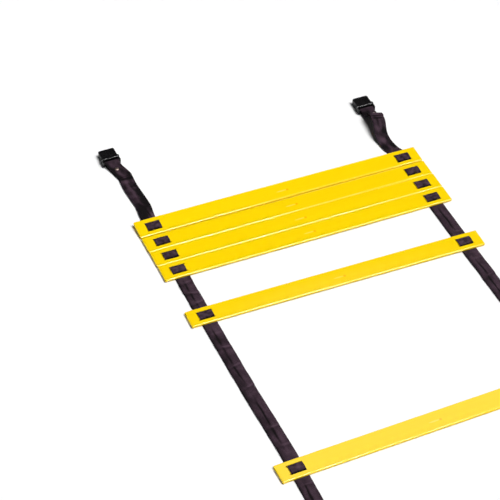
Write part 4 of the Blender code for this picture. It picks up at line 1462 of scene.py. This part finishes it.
def build_buckles():
    socket, plug = socket_shape(), plug_shape()
    prongs = {across: prong_shape(-across) for across in (-1, 1)}
    half_turn = Matrix.Rotation(math.pi, 4, "Z")
    for side in SIDES:
        mouth = Matrix.Translation(bar_place("socket", side))
        bar = bar_place("plug", side)
        tongue = Matrix.Translation(bar) @ half_turn
        pieces = [(f"socket_{side}", socket, mouth), (f"plug_{side}", plug, tongue)]
        pivot = bar.y - SHOULDER - PART_GAP - PRONG_THICKNESS / 2
        for word, across in (("west", -1), ("east", 1)):
            place = Vector((bar.x + across * PRONG_OFFSET, pivot, bar.z))
            pieces.append((f"prong_{side}_{word}", prongs[across], Matrix.Translation(place) @ half_turn))
        for name, pattern, placed in pieces:
            shape = pattern.copy()
            bmesh.ops.transform(shape, matrix=placed, verts=shape.verts)
            store_wear(shape)
            piece = finished_piece(f"moulded_{name}", shape, BUCKLE_PLASTIC, name, [name])
            even_out_shading(piece)


# Studio


def build_floor():
    shape = bmesh.new()
    bmesh.ops.create_grid(shape, x_segments=8, y_segments=8, size=FLOOR_REACH)
    material, tree, shader, solid = new_material("pale floor")
    path = node(tree, "LightPath").outputs
    values = {
        "Base Color": blended(tree, noise_value(tree, solid, 3.0, 2.0, 0.5), *FLOOR_WHITES),
        "Roughness": 0.6,
        "Specular IOR Level": 0.1,
        "Emission Color": WHITE,
        "Emission Strength": product(tree, path["Is Camera Ray"], FLOOR_GLOW),
    }
    set_inputs(tree, shader, values)
    floor = added("studio_floor", shape)
    floor.data.materials.append(material)


def build_world():
    """Soft fill for the surfaces, and the studio that glossy ones show."""
    world = bpy.data.worlds.new("studio")
    world.use_nodes = True
    tree = world.node_tree
    path = node(tree, "LightPath").outputs
    seen = calc(tree, "MAXIMUM", path["Is Camera Ray"], path["Is Glossy Ray"])
    seen = calc(tree, "MAXIMUM", seen, path["Is Transmission Ray"])
    height = node(tree, "SeparateXYZ", {"Vector": node(tree, "TexCoord").outputs["Generated"]}).outputs["Z"]
    walls = ranged(tree, height, WALL_TOP, CEILING_START, 1.0, CEILING_TONE)
    lamp = ranged(tree, height, LAMP_START, LAMP_FULL, 0.0, LAMP_TONE)
    studio = calc(tree, "ADD", walls, lamp)
    fill = product(tree, calc(tree, "SUBTRACT", 1.0, seen), FILL_LEVEL)
    strength = calc(tree, "MULTIPLY_ADD", studio, seen, fill)
    set_inputs(tree, tree.nodes["Background"], {"Color": WHITE, "Strength": strength})
    bpy.context.scene.world = world


def placed_light(name, kind, place, target):
    lamp = bpy.data.objects.new(name, bpy.data.lights.new(name, kind))
    bpy.context.scene.collection.objects.link(lamp)
    lamp.location = place
    lamp.rotation_euler = (Vector(target) - Vector(place)).to_track_quat("-Z", "Y").to_euler()
    return lamp


def build_lights():
    """A wide key light with a smaller one in the same place for glossy surfaces, and a round lamp overhead."""
    key = placed_light("soft_key", "SUN", KEY_PLACE, (0, 0, 0))
    glint = placed_light("edge_glint", "SUN", KEY_PLACE, (0, 0, 0))
    for lamp, spread in ((key, KEY_SPREAD), (glint, GLINT_SPREAD)):
        lamp.data.energy = KEY_LEVEL
        lamp.data.angle = math.radians(spread)
    key.visible_glossy = glint.visible_diffuse = False
    x, y, _ = GLOSS_PLACE
    gloss = placed_light("gloss_lamp", "AREA", GLOSS_PLACE, (x, y, 0))
    gloss.data.shape = "DISK"
    gloss.data.size = GLOSS_SIZE
    gloss.data.energy = GLOSS_LEVEL * math.pi**2 * (GLOSS_SIZE / 2) ** 2
    gloss.visible_diffuse = gloss.visible_camera = False


def build_camera():
    azimuth, elevation, roll = (math.radians(a) for a in (VIEW_AZIMUTH, VIEW_ELEVATION, VIEW_ROLL))
    flat = Vector((-math.sin(azimuth), math.cos(azimuth), 0))
    forward = flat * math.cos(elevation) - Vector((0, 0, math.sin(elevation)))
    right = Vector((math.cos(azimuth), math.sin(azimuth), 0))
    up = right.cross(forward)
    right, up = right * math.cos(roll) + up * math.sin(roll), up * math.cos(roll) - right * math.sin(roll)
    data = bpy.data.cameras.new("photo_view")
    data.sensor_width = VIEW_SENSOR
    data.lens = VIEW_LENS
    data.clip_start, data.clip_end = VIEW_CLIPS
    camera = bpy.data.objects.new("photo_view", data)
    bpy.context.scene.collection.objects.link(camera)
    turn = Matrix((right, up, -forward)).transposed()
    camera.matrix_world = Matrix.LocRotScale(VIEW_TARGET - forward * VIEW_DISTANCE, turn, None)
    bpy.context.scene.camera = camera


build_camera()
build_world()
build_lights()
build_floor()
build_rungs()
for side in SIDES:
    build_run(side)
    build_end(side)
build_arches()
build_rivets()
build_buckles()
bpy.context.scene.view_settings.view_transform = "Standard"

bpy.context.view_layer.update()
